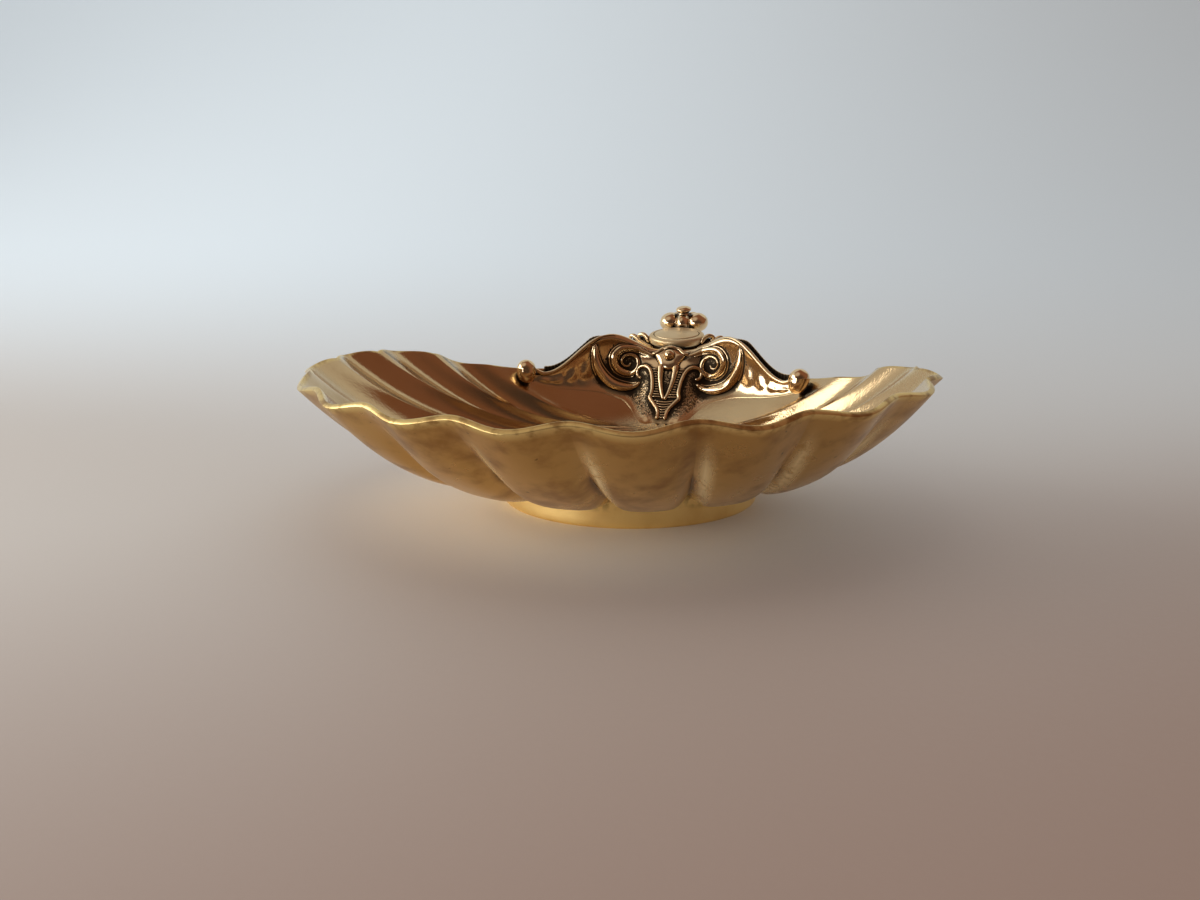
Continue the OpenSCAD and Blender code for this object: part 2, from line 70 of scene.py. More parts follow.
def smooth(share: Array | float) -> Array | float:
    """S-curve from 0 to 1."""
    t = np.clip(share, 0.0, 1.0)
    return t * t * (3.0 - 2.0 * t)


def wave(share: Array | float) -> Array | float:
    """Half a cosine wave from 0 to 1."""
    return (1.0 - np.cos(np.pi * np.clip(share, 0.0, 1.0))) / 2.0


def ramp(value: Array | float, start: float, length: float) -> Array | float:
    """S-curve from 0 at a start to 1 a length further on."""
    return smooth((value - start) / length)


def bell(value: Array | float, middle: float, half: float) -> Array | float:
    """Bell curve of height 1 around a middle."""
    return np.exp(-(((value - middle) / half) ** 2))


def spline(points: Sequence[Sequence[float]], count: int) -> Array:
    """Smooth curve through points.

    Args:
        points: Rows of any width, such as x, z and half width.
        count: Number of points on the curve, evenly spread along its length.

    Returns:
        The points of a Catmull-Rom curve.
    """
    p = np.asarray(points, float)
    p = np.vstack([2 * p[0] - p[1], p, 2 * p[-1] - p[-2]])
    rows = []
    for a, b, c, d in zip(p[:-3], p[1:-2], p[2:-1], p[3:]):
        t = np.linspace(0, 1, SPLINE_STEPS, endpoint=False)[:, None]
        square, cube = 2 * a - 5 * b + 4 * c - d, 3 * b - a - 3 * c + d
        rows.append(0.5 * (2 * b + (c - a) * t + square * t**2 + cube * t**3))
    dense = np.vstack(rows + [p[-2:-1]])
    length = np.concatenate([[0], np.cumsum(np.linalg.norm(np.diff(dense[:, :2], axis=0), axis=1))])
    even = np.linspace(0, length[-1], count)
    return np.stack([np.interp(even, length, column) for column in dense.T], axis=1)


class Slot(Enum):
    """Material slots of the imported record."""

    BOWL = "bowl"
    FOOT = "foot"
    CREST = "crest"
    SCROLLS = "scrolls"
    STRAP = "strap"
    MEDALLION = "medallion"
    FINIAL = "finial"


class Side(Enum):
    """The two mirrored halves of the crest."""

    LEFT = -1
    RIGHT = 1

    @property
    def word(self) -> str:
        """Name used in piece names."""
        return self.name.lower()


class Bench:
    """Blender's modelling operators, used on one mesh at a time."""

    @staticmethod
    def clear() -> None:
        """Leave edit mode and deselect everything."""
        if bpy.context.object is not None and bpy.context.object.mode != "OBJECT":
            bpy.ops.object.mode_set(mode="OBJECT")
        bpy.ops.object.select_all(action="DESELECT")

    @staticmethod
    def pick(piece: bpy.types.Object) -> None:
        """Select one piece and make it active.

        Args:
            piece: The piece.
        """
        Bench.clear()
        piece.select_set(True)
        bpy.context.view_layer.objects.active = piece

    @staticmethod
    def named(name: str) -> bpy.types.Object:
        """Name the object that an operator has just added.

        Args:
            name: Name for the object and its mesh.

        Returns:
            The object.
        """
        piece = bpy.context.object
        piece.name = name
        piece.data.name = name
        return piece

    @staticmethod
    def points(piece: bpy.types.Object) -> Array:
        """Read the corner points of a mesh.

        Args:
            piece: The mesh.

        Returns:
            Rows of x, y and z in metres.
        """
        rows = np.zeros(len(piece.data.vertices) * 3)
        piece.data.vertices.foreach_get("co", rows)
        return rows.reshape(-1, 3)

    @staticmethod
    def place(piece: bpy.types.Object, rows: Array) -> None:
        """Move a mesh's corner points to rows in millimetres."""
        piece.data.vertices.foreach_set("co", (rows * MM).astype(np.float32).ravel())
        piece.data.update()

    @staticmethod
    def close(piece: bpy.types.Object, distance: float = 0.002) -> None:
        """Merge doubled points and turn the faces outwards.

        Args:
            piece: The mesh.
            distance: Greatest distance between doubled points.
        """
        Bench.pick(piece)
        bpy.ops.object.mode_set(mode="EDIT")
        bpy.ops.mesh.select_all(action="SELECT")
        bpy.ops.mesh.remove_doubles(threshold=distance * MM)
        bpy.ops.mesh.normals_make_consistent(inside=False)
        bpy.ops.object.mode_set(mode="OBJECT")

    @staticmethod
    def shade(piece: bpy.types.Object) -> None:
        """Smooth the shading."""
        Bench.pick(piece)
        bpy.ops.object.shade_smooth()

    @staticmethod
    def apply(piece: bpy.types.Object, kind: str, **settings: object) -> None:
        """Add a modifier and apply it.

        Args:
            piece: The mesh.
            kind: Type of the modifier.
            settings: Properties of the modifier.
        """
        Bench.pick(piece)
        modifier = piece.modifiers.new(kind.title(), kind)
        for key, value in settings.items():
            setattr(modifier, key, value)
        bpy.ops.object.modifier_apply(modifier=modifier.name)

    @staticmethod
    def mark(piece: bpy.types.Object, name: str, values: Array) -> None:
        """Store one number per point as a named attribute."""
        layer = piece.data.attributes.get(name) or piece.data.attributes.new(name, "FLOAT", "POINT")
        layer.data.foreach_set("value", np.asarray(values, np.float32))

    @staticmethod
    def tree(pieces: Iterable[bpy.types.Object]) -> BVHTree:
        """Make a search tree over the faces of several meshes.

        Args:
            pieces: The meshes.

        Returns:
            The tree, in metres.
        """
        corners, faces = [], []
        for piece in pieces:
            start = len(corners)
            corners.extend(map(tuple, Bench.points(piece)))
            faces.extend([start + i for i in p.vertices] for p in piece.data.polygons)
        return BVHTree.FromPolygons(corners, faces)

    @staticmethod
    def net(
        name: str, rings: Array, start: Array, end: Array, marks: Mapping[str, Array] | None = None
    ) -> bpy.types.Object:
        """Closed skin over rings of points, from a sphere whose rows are moved to the rings.

        Args:
            name: Name of the piece.
            rings: Points as rows, columns and x, y, z.
            start: Point that closes the first ring.
            end: Point that closes the last ring.
            marks: Named numbers, one per point of the rings.

        Returns:
            The new piece.
        """
        rows, columns = rings.shape[:2]
        Bench.clear()
        bpy.ops.mesh.primitive_uv_sphere_add(segments=columns, ring_count=rows + 1, radius=1.0)
        piece = Bench.named(name)
        ball = Bench.points(piece)
        row = np.rint(np.arccos(np.clip(ball[:, 2], -1, 1)) / np.pi * (rows + 1)).astype(int)
        column = np.rint(np.arctan2(ball[:, 1], ball[:, 0]) / (2 * np.pi) * columns).astype(int) % columns
        first, last = row == 0, row == rows + 1
        inner = np.clip(row - 1, 0, rows - 1)
        spots = rings[inner, column]
        spots[first], spots[last] = start, end
        Bench.place(piece, spots)
        for key, values in (marks or {}).items():
            value = values[inner, column]
            value[first], value[last] = values[0].mean(), values[-1].mean()
            Bench.mark(piece, key, value)
        Bench.close(piece)
        Bench.shade(piece)
        return piece

    @staticmethod
    def hoop(name: str, rings: Array, marks: Mapping[str, Array] | None = None) -> bpy.types.Object:
        """Closed ring over sections of points, from a torus whose sections are moved.

        Args:
            name: Name of the piece.
            rings: Points as sections around the ring, columns and x, y, z.
            marks: Named numbers, one per point of the rings.

        Returns:
            The new piece.
        """
        rows, columns = rings.shape[:2]
        Bench.clear()
        bpy.ops.mesh.primitive_torus_add(
            major_segments=rows, minor_segments=columns, major_radius=1.0, minor_radius=0.25
        )
        piece = Bench.named(name)
        ring = Bench.points(piece)
        turn = np.arctan2(ring[:, 1], ring[:, 0]) / (2 * np.pi)
        around = np.arctan2(ring[:, 2], np.hypot(ring[:, 0], ring[:, 1]) - 1.0) / (2 * np.pi)
        row, column = np.rint(turn * rows).astype(int) % rows, np.rint(around * columns).astype(int) % columns
        Bench.place(piece, rings[row, column])
        for key, values in (marks or {}).items():
            Bench.mark(piece, key, values[row, column])
        Bench.close(piece)
        Bench.shade(piece)
        return piece

    @staticmethod
    def bars(name: str, paths: Sequence[Array], radii: Sequence[Array], sides: int = 3) -> bpy.types.Object:
        """Round bars along paths, with rounded ends, from one bevelled curve.

        Args:
            name: Name of the piece.
            paths: Points of each bar's middle line.
            radii: Radius at each point of each bar.
            sides: Steps in a quarter of a bar's outline.

        Returns:
            The bars as one mesh.
        """
        Bench.clear()
        bpy.ops.curve.primitive_bezier_curve_add()
        curve = Bench.named(name).data
        curve.splines.clear()
        curve.dimensions, curve.bevel_depth, curve.bevel_resolution = "3D", 1.0, sides
        curve.use_fill_caps = True
        for path, radius in zip(paths, radii):
            length = np.concatenate([[0], np.cumsum(np.linalg.norm(np.diff(path, axis=0), axis=1))])
            for distance in (length, length[-1] - length):
                share = np.clip(distance / np.maximum(radius, 1e-6), 0, 1)
                radius = radius * np.sqrt(np.maximum(1 - (1 - share) ** 2, 0.02))
            line = curve.splines.new("POLY")
            line.points.add(len(path) - 1)
            line.points.foreach_set("co", np.column_stack([path * MM, np.ones(len(path))]).ravel())
            line.points.foreach_set("radius", radius * MM)
        bpy.ops.object.convert(target="MESH")
        piece = Bench.named(name)
        Bench.close(piece)
        Bench.shade(piece)
        return piece

    @staticmethod
    def tube(name: str, path: Array, radii: Array, sides: int = 3) -> bpy.types.Object:
        """One round bar along a path."""
        return Bench.bars(name, [path], [radii], sides)

    @staticmethod
    def join(name: str, pieces: Sequence[bpy.types.Object]) -> bpy.types.Object:
        """Make several meshes one piece.

        Args:
            name: Name of the piece.
            pieces: The meshes to join.

        Returns:
            The joined piece.
        """
        Bench.clear()
        for piece in pieces:
            piece.select_set(True)
        bpy.context.view_layer.objects.active = pieces[0]
        if len(pieces) > 1:
            bpy.ops.object.join()
        return Bench.named(name)

    @staticmethod
    def mirrored(piece: bpy.types.Object, name: str) -> bpy.types.Object:
        """Copy a piece to the other side of the middle plane, with its own mesh.

        Args:
            piece: The piece to copy.
            name: Name of the copy.

        Returns:
            The copy.
        """
        Bench.pick(piece)
        bpy.ops.object.duplicate(linked=False)
        twin = Bench.named(name)
        bpy.ops.object.mode_set(mode="EDIT")
        bpy.ops.mesh.select_all(action="SELECT")
        bpy.ops.transform.mirror(constraint_axis=(True, False, False), center_override=(0, 0, 0))
        bpy.ops.mesh.flip_normals()
        bpy.ops.object.mode_set(mode="OBJECT")
        return twin


class Wire:
    """One value in a node tree. The operators add Math nodes."""

    def __init__(self, recipe: Recipe, socket: bpy.types.NodeSocket) -> None:
        """Keep the socket and the recipe that it belongs to."""
        self.recipe = recipe
        self.socket = socket

    def __add__(self, other: Wire | float) -> Wire:
        """Sum."""
        return self.recipe.math("ADD", self, other)

    def __sub__(self, other: Wire | float) -> Wire:
        """Difference."""
        return self.recipe.math("SUBTRACT", self, other)

    def __rsub__(self, other: float) -> Wire:
        """Difference from a number."""
        return self.recipe.math("SUBTRACT", other, self)

    def __mul__(self, other: Wire | float) -> Wire:
        """Product."""
        return self.recipe.math("MULTIPLY", self, other)

    __radd__ = __add__
    __rmul__ = __mul__


class Recipe:
    """Node tree of one finish, floor or surrounding."""

    def __init__(self, tree: bpy.types.NodeTree) -> None:
        """Start from an empty tree."""
        self.tree = tree
        tree.nodes.clear()

    def add(
        self,
        kind: str,
        settings: Mapping[str, object] | None = None,
        inputs: Mapping[str | int, object] | None = None,
    ) -> bpy.types.Node:
        """Add a node.

        Args:
            kind: Type of the node.
            settings: Properties, set before the sockets.
            inputs: Values or wires of the sockets, by name or number.

        Returns:
            The new node.
        """
        node = self.tree.nodes.new(kind)
        for key, value in (settings or {}).items():
            setattr(node, key, value)
        for key, value in (inputs or {}).items():
            if isinstance(value, Wire):
                self.tree.links.new(value.socket, node.inputs[key])
            else:
                node.inputs[key].default_value = value
        return node

    def out(self, node: bpy.types.Node, socket: str | int = 0) -> Wire:
        """Wire from a node's output."""
        return Wire(self, node.outputs[socket])

    def math(self, operation: str, first: Wire | float, second: Wire | float = 0.0) -> Wire:
        """Math node on one or two values."""
        return self.out(self.add("ShaderNodeMath", {"operation": operation}, {0: first, 1: second}))

    def step(self, value: Wire, low: float, high: float) -> Wire:
        """Smooth step from 0 at low to 1 at high."""
        inputs = {"Value": value, "From Min": low, "From Max": high}
        return self.out(self.add("ShaderNodeMapRange", {"interpolation_type": "SMOOTHSTEP"}, inputs))

    def blend(self, low: Wire | Colour, high: Wire | Colour, share: Wire) -> Wire:
        """Mix two colours.

        Args:
            low: Colour at a share of 0.
            high: Colour at a share of 1.
            share: The share.

        Returns:
            The mixed colour.
        """
        wide = [c if isinstance(c, Wire) else (*c, 1.0) for c in (low, high)]
        node = self.add("ShaderNodeMix", {"data_type": "RGBA"}, {0: share, 6: wide[0], 7: wide[1]})
        return self.out(node, 2)

    def mark(self, name: str) -> Wire:
        """Number that a mesh carries at each point."""
        return self.out(self.add("ShaderNodeAttribute", {"attribute_name": name}), "Fac")

    def place(self, stretch: Sequence[float] = (1.0, 1.0, 1.0)) -> Wire:
        """Object coordinates, stretched along the axes."""
        where = self.out(self.add("ShaderNodeTexCoord"), "Object")
        return self.out(self.add("ShaderNodeMapping", None, {"Vector": where, "Scale": tuple(stretch)}))

    def noise(self, grain: float, detail: float = 2.0, stretch: Sequence[float] = (1.0, 1.0, 1.0)) -> Wire:
        """Noise from 0 to 1 with a grain in millimetres."""
        inputs = {"Vector": self.place(stretch), "Scale": 1.0 / (grain * MM), "Detail": detail}
        return self.out(self.add("ShaderNodeTexNoise", None, inputs), "Fac")

    def cells(self, grain: float) -> Wire:
        """Distance to the middle of punched cells with a size in millimetres."""
        inputs = {"Vector": self.place(), "Scale": 1.0 / (grain * MM)}
        return self.out(self.add("ShaderNodeTexVoronoi", None, inputs), "Distance")

    def bump(self, height: Wire, depth: float, strength: float = 1.0) -> Wire:
        """Normal of a relief whose depth is in millimetres."""
        inputs = {"Height": height, "Distance": depth * MM, "Strength": strength}
        return self.out(self.add("ShaderNodeBump", None, inputs))

    def surface(self, **inputs: object) -> None:
        """End the tree in a principled surface.

        Args:
            inputs: Values or wires of the sockets, with underscores for the spaces in their names.
        """
        sockets = {key.replace("_", " "): value for key, value in inputs.items()}
        shader = self.out(self.add("ShaderNodeBsdfPrincipled", None, sockets))
        self.add("ShaderNodeOutputMaterial", None, {"Surface": shader})


def new_material(name: str) -> tuple[bpy.types.Material, Recipe]:
    """Make an empty material.

    Args:
        name: Name of the material.

    Returns:
        The material and the recipe of its tree.
    """
    material = bpy.data.materials.new(name)
    material.use_nodes = True
    return material, Recipe(material.node_tree)


@dataclass(frozen=True)
class ShellBrass:
    """Brass of the bowl: polished inside, satin and stained outside, satin along the rim."""

    gold: Colour = (0.70, 0.51, 0.28)
    rose: Colour = (0.60, 0.40, 0.20)
    satin: Colour = (0.66, 0.40, 0.13)
    tarnish: Colour = (0.34, 0.165, 0.045)
    # Pale colour of the painted highlight lines on the lobes' left shoulders and hems.
    worn: Colour = (1.0, 0.78, 0.40)
    pit: Colour = (0.05, 0.03, 0.015)
    rim: Colour = (0.86, 0.64, 0.26)
    rim_stain: Colour = (0.36, 0.20, 0.07)

    def build(self) -> bpy.types.Material:
        """Make the material, which reads the bowl's marks.

        Returns:
            The material.
        """
        material, r = new_material("shell_brass")
        inside, rim, groove, low = (r.mark(n) for n in ("inside", "rim", "groove", "low"))
        cloud, stain = r.noise(16.0, 4.0), r.noise(5.0, 6.0)
        fleck, grain = r.noise(1.6, 4.0), r.noise(0.38, 1.5)
        outer = r.blend(self.satin, self.tarnish, r.step(cloud * 0.5 + stain * 0.5, 0.44, 0.64) * 0.8)
        # Painted highlight: pale lines along the lobes' left shoulders and hems stand in for the reflection
        # of the light from the left; below they are made less metallic so that they show pale.
        line = r.mark("shoulder") * r.step(stain * 0.7 + fleck * 0.3, 0.28, 0.50)
        outer = r.blend(outer, self.worn, line * 0.9)
        outer = r.blend(outer, self.tarnish, r.step(groove, 0.84, 0.98) * 0.7)
        outer = r.blend(outer, self.pit, r.step(groove, 0.92, 1.0) * 0.5)
        soil = r.step(groove, 0.88, 1.0) * r.step(stain * 0.6 + fleck * 0.4, 0.40, 0.56)
        outer = r.blend(outer, self.pit, soil * (0.40 + 0.6 * low))
        outer = r.blend(outer, self.pit, r.step(fleck, 0.66, 0.74) * r.step(stain, 0.48, 0.60) * 0.7)
        inner = r.blend(self.gold, self.rose, r.step(cloud, 0.4, 0.7) * 0.5)
        speck = r.step(r.mark("crease") + 1.3 * (r.noise(0.30, 2.0) - 0.5), 0.55, 0.75)
        inner = r.blend(inner, self.pit, speck * 0.85)
        edge = r.blend(self.rim, self.rim_stain, r.step(stain * 0.6 + fleck * 0.4, 0.46, 0.62) * 0.85)
        colour = r.blend(r.blend(outer, inner, inside), edge, rim)
        rough = 0.30 + 0.18 * (stain - 0.5) - 0.08 * line
        rough = rough * (1.0 - inside) + (0.16 + 0.08 * (stain - 0.5)) * inside
        rough = rough * (1.0 - rim) + 0.30 * rim
        relief = grain * (0.35 + 1.5 * inside) + r.noise(1.6, 2.0) * (0.5 + 0.9 * inside)
        metal = 1.0 - 0.75 * line
        r.surface(Base_Color=colour, Metallic=metal, Roughness=rough, Normal=r.bump(relief, 0.035, 0.7))
        return material


@dataclass(frozen=True)
class FootBrass:
    """Satin golden brass of the foot, brushed around and dull under the lobes."""

    satin: Colour = (1.0, 0.74, 0.30)
    tarnish: Colour = (0.80, 0.52, 0.18)
    soil: Colour = (0.07, 0.04, 0.015)

    def build(self) -> bpy.types.Material:
        """Make the material, which reads the foot's soil mark.

        Returns:
            The material.
        """
        material, r = new_material("foot_brass")
        cloud, stain = r.noise(9.0, 4.0), r.noise(2.2, 4.0)
        brush = r.noise(1.0, 2.0, (0.12, 0.12, 4.0))
        colour = r.blend(self.satin, self.tarnish, r.step(cloud, 0.48, 0.74) * 0.55)
        colour = r.blend(colour, self.soil, r.mark("soil") * r.step(stain, 0.44, 0.62) * 0.8)
        rough = 0.36 + 0.14 * (brush - 0.5) + 0.12 * (stain - 0.5)
        r.surface(Base_Color=colour, Metallic=1.0, Roughness=rough, Normal=r.bump(brush + stain, 0.02, 0.4))
        return material


@dataclass(frozen=True)
class AntiqueGold:
    """Polished casting of the crest, with black patina in its hollows and a punched ground."""

    name: str = "antique_gold"
    gold: Colour = (0.94, 0.72, 0.43)
    deep: Colour = (0.62, 0.42, 0.23)
    patina: Colour = (0.020, 0.014, 0.010)
    bowl: Colour = (0.72, 0.53, 0.29)
    polish: float = 0.12
    hollow: tuple[float, float] = (0.20, 0.42)

    def build(self) -> bpy.types.Material:
        """Make the material, which reads the hollow, soot, stipple and bed marks.

        Returns:
            The material.
        """
        material, r = new_material(self.name)
        hollow, stipple = r.mark("hollow") + r.mark("soot"), r.mark("stipple")
        fleck, cloud, punch = r.noise(0.45, 3.0), r.noise(3.0, 3.0), r.cells(0.30)
        dirt = r.step(hollow + 0.30 * (fleck - 0.5) + stipple * (0.34 + 0.7 * (0.5 - punch)), *self.hollow)
        colour = r.blend(self.gold, self.deep, r.step(hollow + 0.3 * (cloud - 0.5), 0.10, 0.36) * 0.6)
        bed = r.mark("bed")
        colour = r.blend(r.blend(colour, self.bowl, bed), self.patina, dirt * (1.0 - 0.6 * bed) * 0.96)
        rough = self.polish + 0.08 * (cloud - 0.5) + 0.36 * dirt + 0.10 * stipple + 0.04 * bed
        relief = r.noise(0.5, 2.0) * 0.25 + punch * stipple * 1.6
        r.surface(Base_Color=colour, Metallic=1.0, Roughness=rough, Normal=r.bump(relief, 0.06, 0.7))
        return material


@dataclass(frozen=True)
class ThumbPlate:
    """Pale, finely ground brass of the medallion."""

    pale: Colour = (0.84, 0.66, 0.39)
    rubbed: Colour = (0.74, 0.54, 0.28)
    patina: Colour = (0.030, 0.021, 0.013)

    def build(self) -> bpy.types.Material:
        """Make the material, which reads the hollow mark.

        Returns:
            The material.
        """
        material, r = new_material("thumb_plate")
        grain, cloud = r.noise(0.22, 2.0), r.noise(4.0, 3.0)
        colour = r.blend(self.pale, self.rubbed, r.step(cloud, 0.42, 0.7) * 0.6)
        dirt = r.step(r.mark("hollow") + 0.3 * (grain - 0.5), 0.36, 0.60)
        colour = r.blend(colour, self.patina, dirt * 0.92)
        rough = 0.42 + 0.16 * (grain - 0.5) + 0.15 * dirt
        r.surface(Base_Color=colour, Metallic=1.0, Roughness=rough, Normal=r.bump(grain, 0.02, 0.5))
        return material


@dataclass(frozen=True)
class ShellForm:
    """Surface of the bowl: a nest of outlines that shrink towards the foot, with a fan of flutes."""

    half_width: float = 64.0
    rim_front: float = 59.5
    rim_back: float = 64.5
    rim_shift: float = 15.5
    back_power: float = 1.7
    front_z: float = 31.0
    side_z: float = 32.8
    hinge_drop: float = 8.0
    hinge_share: float = 0.85
    bottom_z: float = 7.8
    flat_share: float = 0.22
    side_rise: float = 2.6
    back_rise: float = 3.0
    wall: float = 1.5
    rim_wall: float = 1.1
    full_wall: float = 0.75
    lobes: int = 15
    fan_half: float = 132.0
    rib_sway: float = 5.0
    even_share: float = 0.35
    flute_depth: float = 2.0
    lobe_power: float = 2.2
    petal_reach: float = 1.5
    petal_from: tuple[float, float] = (50.0, 50.0)
    petal_to: tuple[float, float] = (100.0, 40.0)
    fan_y: float = 30.0
    fan_power: float = 0.75
    flute_start: float = 0.2
    flute_full: float = 0.6
    fan_clear: float = 5.0
    fan_fade: float = 24.0

    @property
    def hinge_y(self) -> float:
        """Back edge of the rim."""
        return self.rim_back - self.rim_shift

    @property
    def hinge_z(self) -> float:
        """Height of the rim's back edge."""
        return self.side_z - self.hinge_drop

    def level(self, x: Array, y: Array) -> Array:
        """Find the outline that a plan point lies on.

        Args:
            x: Places across.
            y: Places back.

        Returns:
            0 over the foot, 1 at the rim.
        """
        x, y = np.broadcast_arrays(np.asarray(x, float), np.asarray(y, float))
        low, high = np.full(x.shape, 1e-4), np.full(x.shape, 1.5)
        for _ in range(24):
            r = (low + high) / 2
            dy = y + self.rim_shift * r
            power = np.where(dy > 0, self.back_power, 2.0)
            reach = np.where(dy > 0, self.rim_back, self.rim_front)
            within = (np.abs(x) / (self.half_width * r)) ** power + (np.abs(dy) / (reach * r)) ** power < 1
            low, high = np.where(within, low, r), np.where(within, r, high)
        return (low + high) / 2

    def z(self, x: Array, y: Array) -> Array:
        """Work out the height of the smooth inside, before the flutes.

        Args:
            x: Places across.
            y: Places back.

        Returns:
            Heights.
        """
        r = self.level(x, y)
        dy = np.asarray(y, float) + self.rim_shift * r
        turn = np.arctan2(np.abs(x) / self.half_width, -dy / np.where(dy > 0, self.rim_back, self.rim_front))
        back = np.maximum(0, -np.cos(turn))
        fall = self.hinge_drop * np.sin(np.pi / 2 * np.minimum(1, back / self.hinge_share)) ** 4
        rim = np.where(back > 0, self.side_z - fall, mix(self.front_z, self.side_z, np.sin(turn) ** 2))
        share = np.maximum(0, (r - self.flat_share) / (1 - self.flat_share))
        return self.bottom_z + (rim - self.bottom_z) * share ** mix(self.side_rise, self.back_rise, back**2)

    def normal(self, x: Array, y: Array, step: float = 0.1) -> Array:
        """Work out the direction that points out of the inside.

        Args:
            x: Places across.
            y: Places back.
            step: Distance to the neighbours that give the slope.

        Returns:
            Directions of length 1.
        """
        gx = (self.z(x + step, y) - self.z(x - step, y)) / (2 * step)
        gy = (self.z(x, y + step) - self.z(x, y - step)) / (2 * step)
        n = np.stack([-gx, -gy, np.ones_like(gx)], -1)
        return n / np.linalg.norm(n, axis=-1, keepdims=True)

    def rim_point(self, degrees: Array) -> Array:
        """Find plan points of the rim.

        Args:
            degrees: Angles from the front, positive to the right.

        Returns:
            Rows of x and y.
        """
        b = np.radians(np.abs(degrees))
        power = np.where(np.cos(b) > 0, 1.0, 2 / self.back_power)
        reach = np.where(np.cos(b) > 0, -self.rim_front, self.rim_back)
        x = np.sign(degrees) * self.half_width * np.abs(np.sin(b)) ** power
        return np.stack([x, reach * np.abs(np.cos(b)) ** power - self.rim_shift], -1)

    def fan_point(self, degrees: Array, share: Array) -> Array:
        """Plan point between the fan's point and the rim."""
        q = self.rim_point(degrees)
        return np.stack([q[..., 0] * share**self.fan_power, mix(self.fan_y, q[..., 1], share)], -1)

    def rib_angle(self, line: Array) -> Array:
        """Find the angles at which rib lines reach the rim.

        Args:
            line: Rib lines from -1 at the left end of the fan to 1 at the right.

        Returns:
            Angles in degrees from the front.
        """
        b = np.abs(line)
        lean = np.clip((b - self.even_share) / (1 - self.even_share), 0, 1)
        return np.sign(line) * (self.fan_half * b + self.rib_sway * np.sin(np.pi * lean))

    def flute(self, x: Array, y: Array) -> Array:
        """Work out the depth of the flutes.

        Args:
            x: Places across.
            y: Places back.

        Returns:
            Depths below the smooth inside.
        """
        rise = smooth((self.level(x, y) - self.flute_start) / (self.flute_full - self.flute_start))
        spread = ramp(np.hypot(x, y - self.fan_y), self.fan_clear, self.fan_fade)
        return self.flute_depth * rise * spread

    def thickness(self, x: Array, y: Array) -> Array:
        """Thickness of the wall, thinner towards the rim."""
        near_rim = ramp(self.level(x, y), self.full_wall, 1 - self.full_wall)
        return mix(self.wall, self.rim_wall, near_rim)

    def reach(self, degrees: Array, lobe: Array) -> Array:
        """Work out how far columns run past the rim line, where the side lobes reach out.

        Args:
            degrees: Angles of the columns.
            lobe: Height of each column's lobe, from 0 to 1.

        Returns:
            Shares of the way to the rim line.
        """
        b = np.abs(degrees)
        side = ramp(b, *self.petal_from) - ramp(b, *self.petal_to)
        span = np.linalg.norm(self.rim_point(degrees) - np.array([0, self.fan_y]), axis=-1)
        return 1 + self.petal_reach * lobe * side / span


@dataclass(frozen=True)
class Columns:
    """Columns of the bowl's skin, with one value for each."""

    angle: Array
    across: Array
    edge: Array
    fluted: Array
    behind: Array
    from_rib: Array
    lobe: Array
    pillow: Array
    swell: Array
    cut: Array
    bead: Array


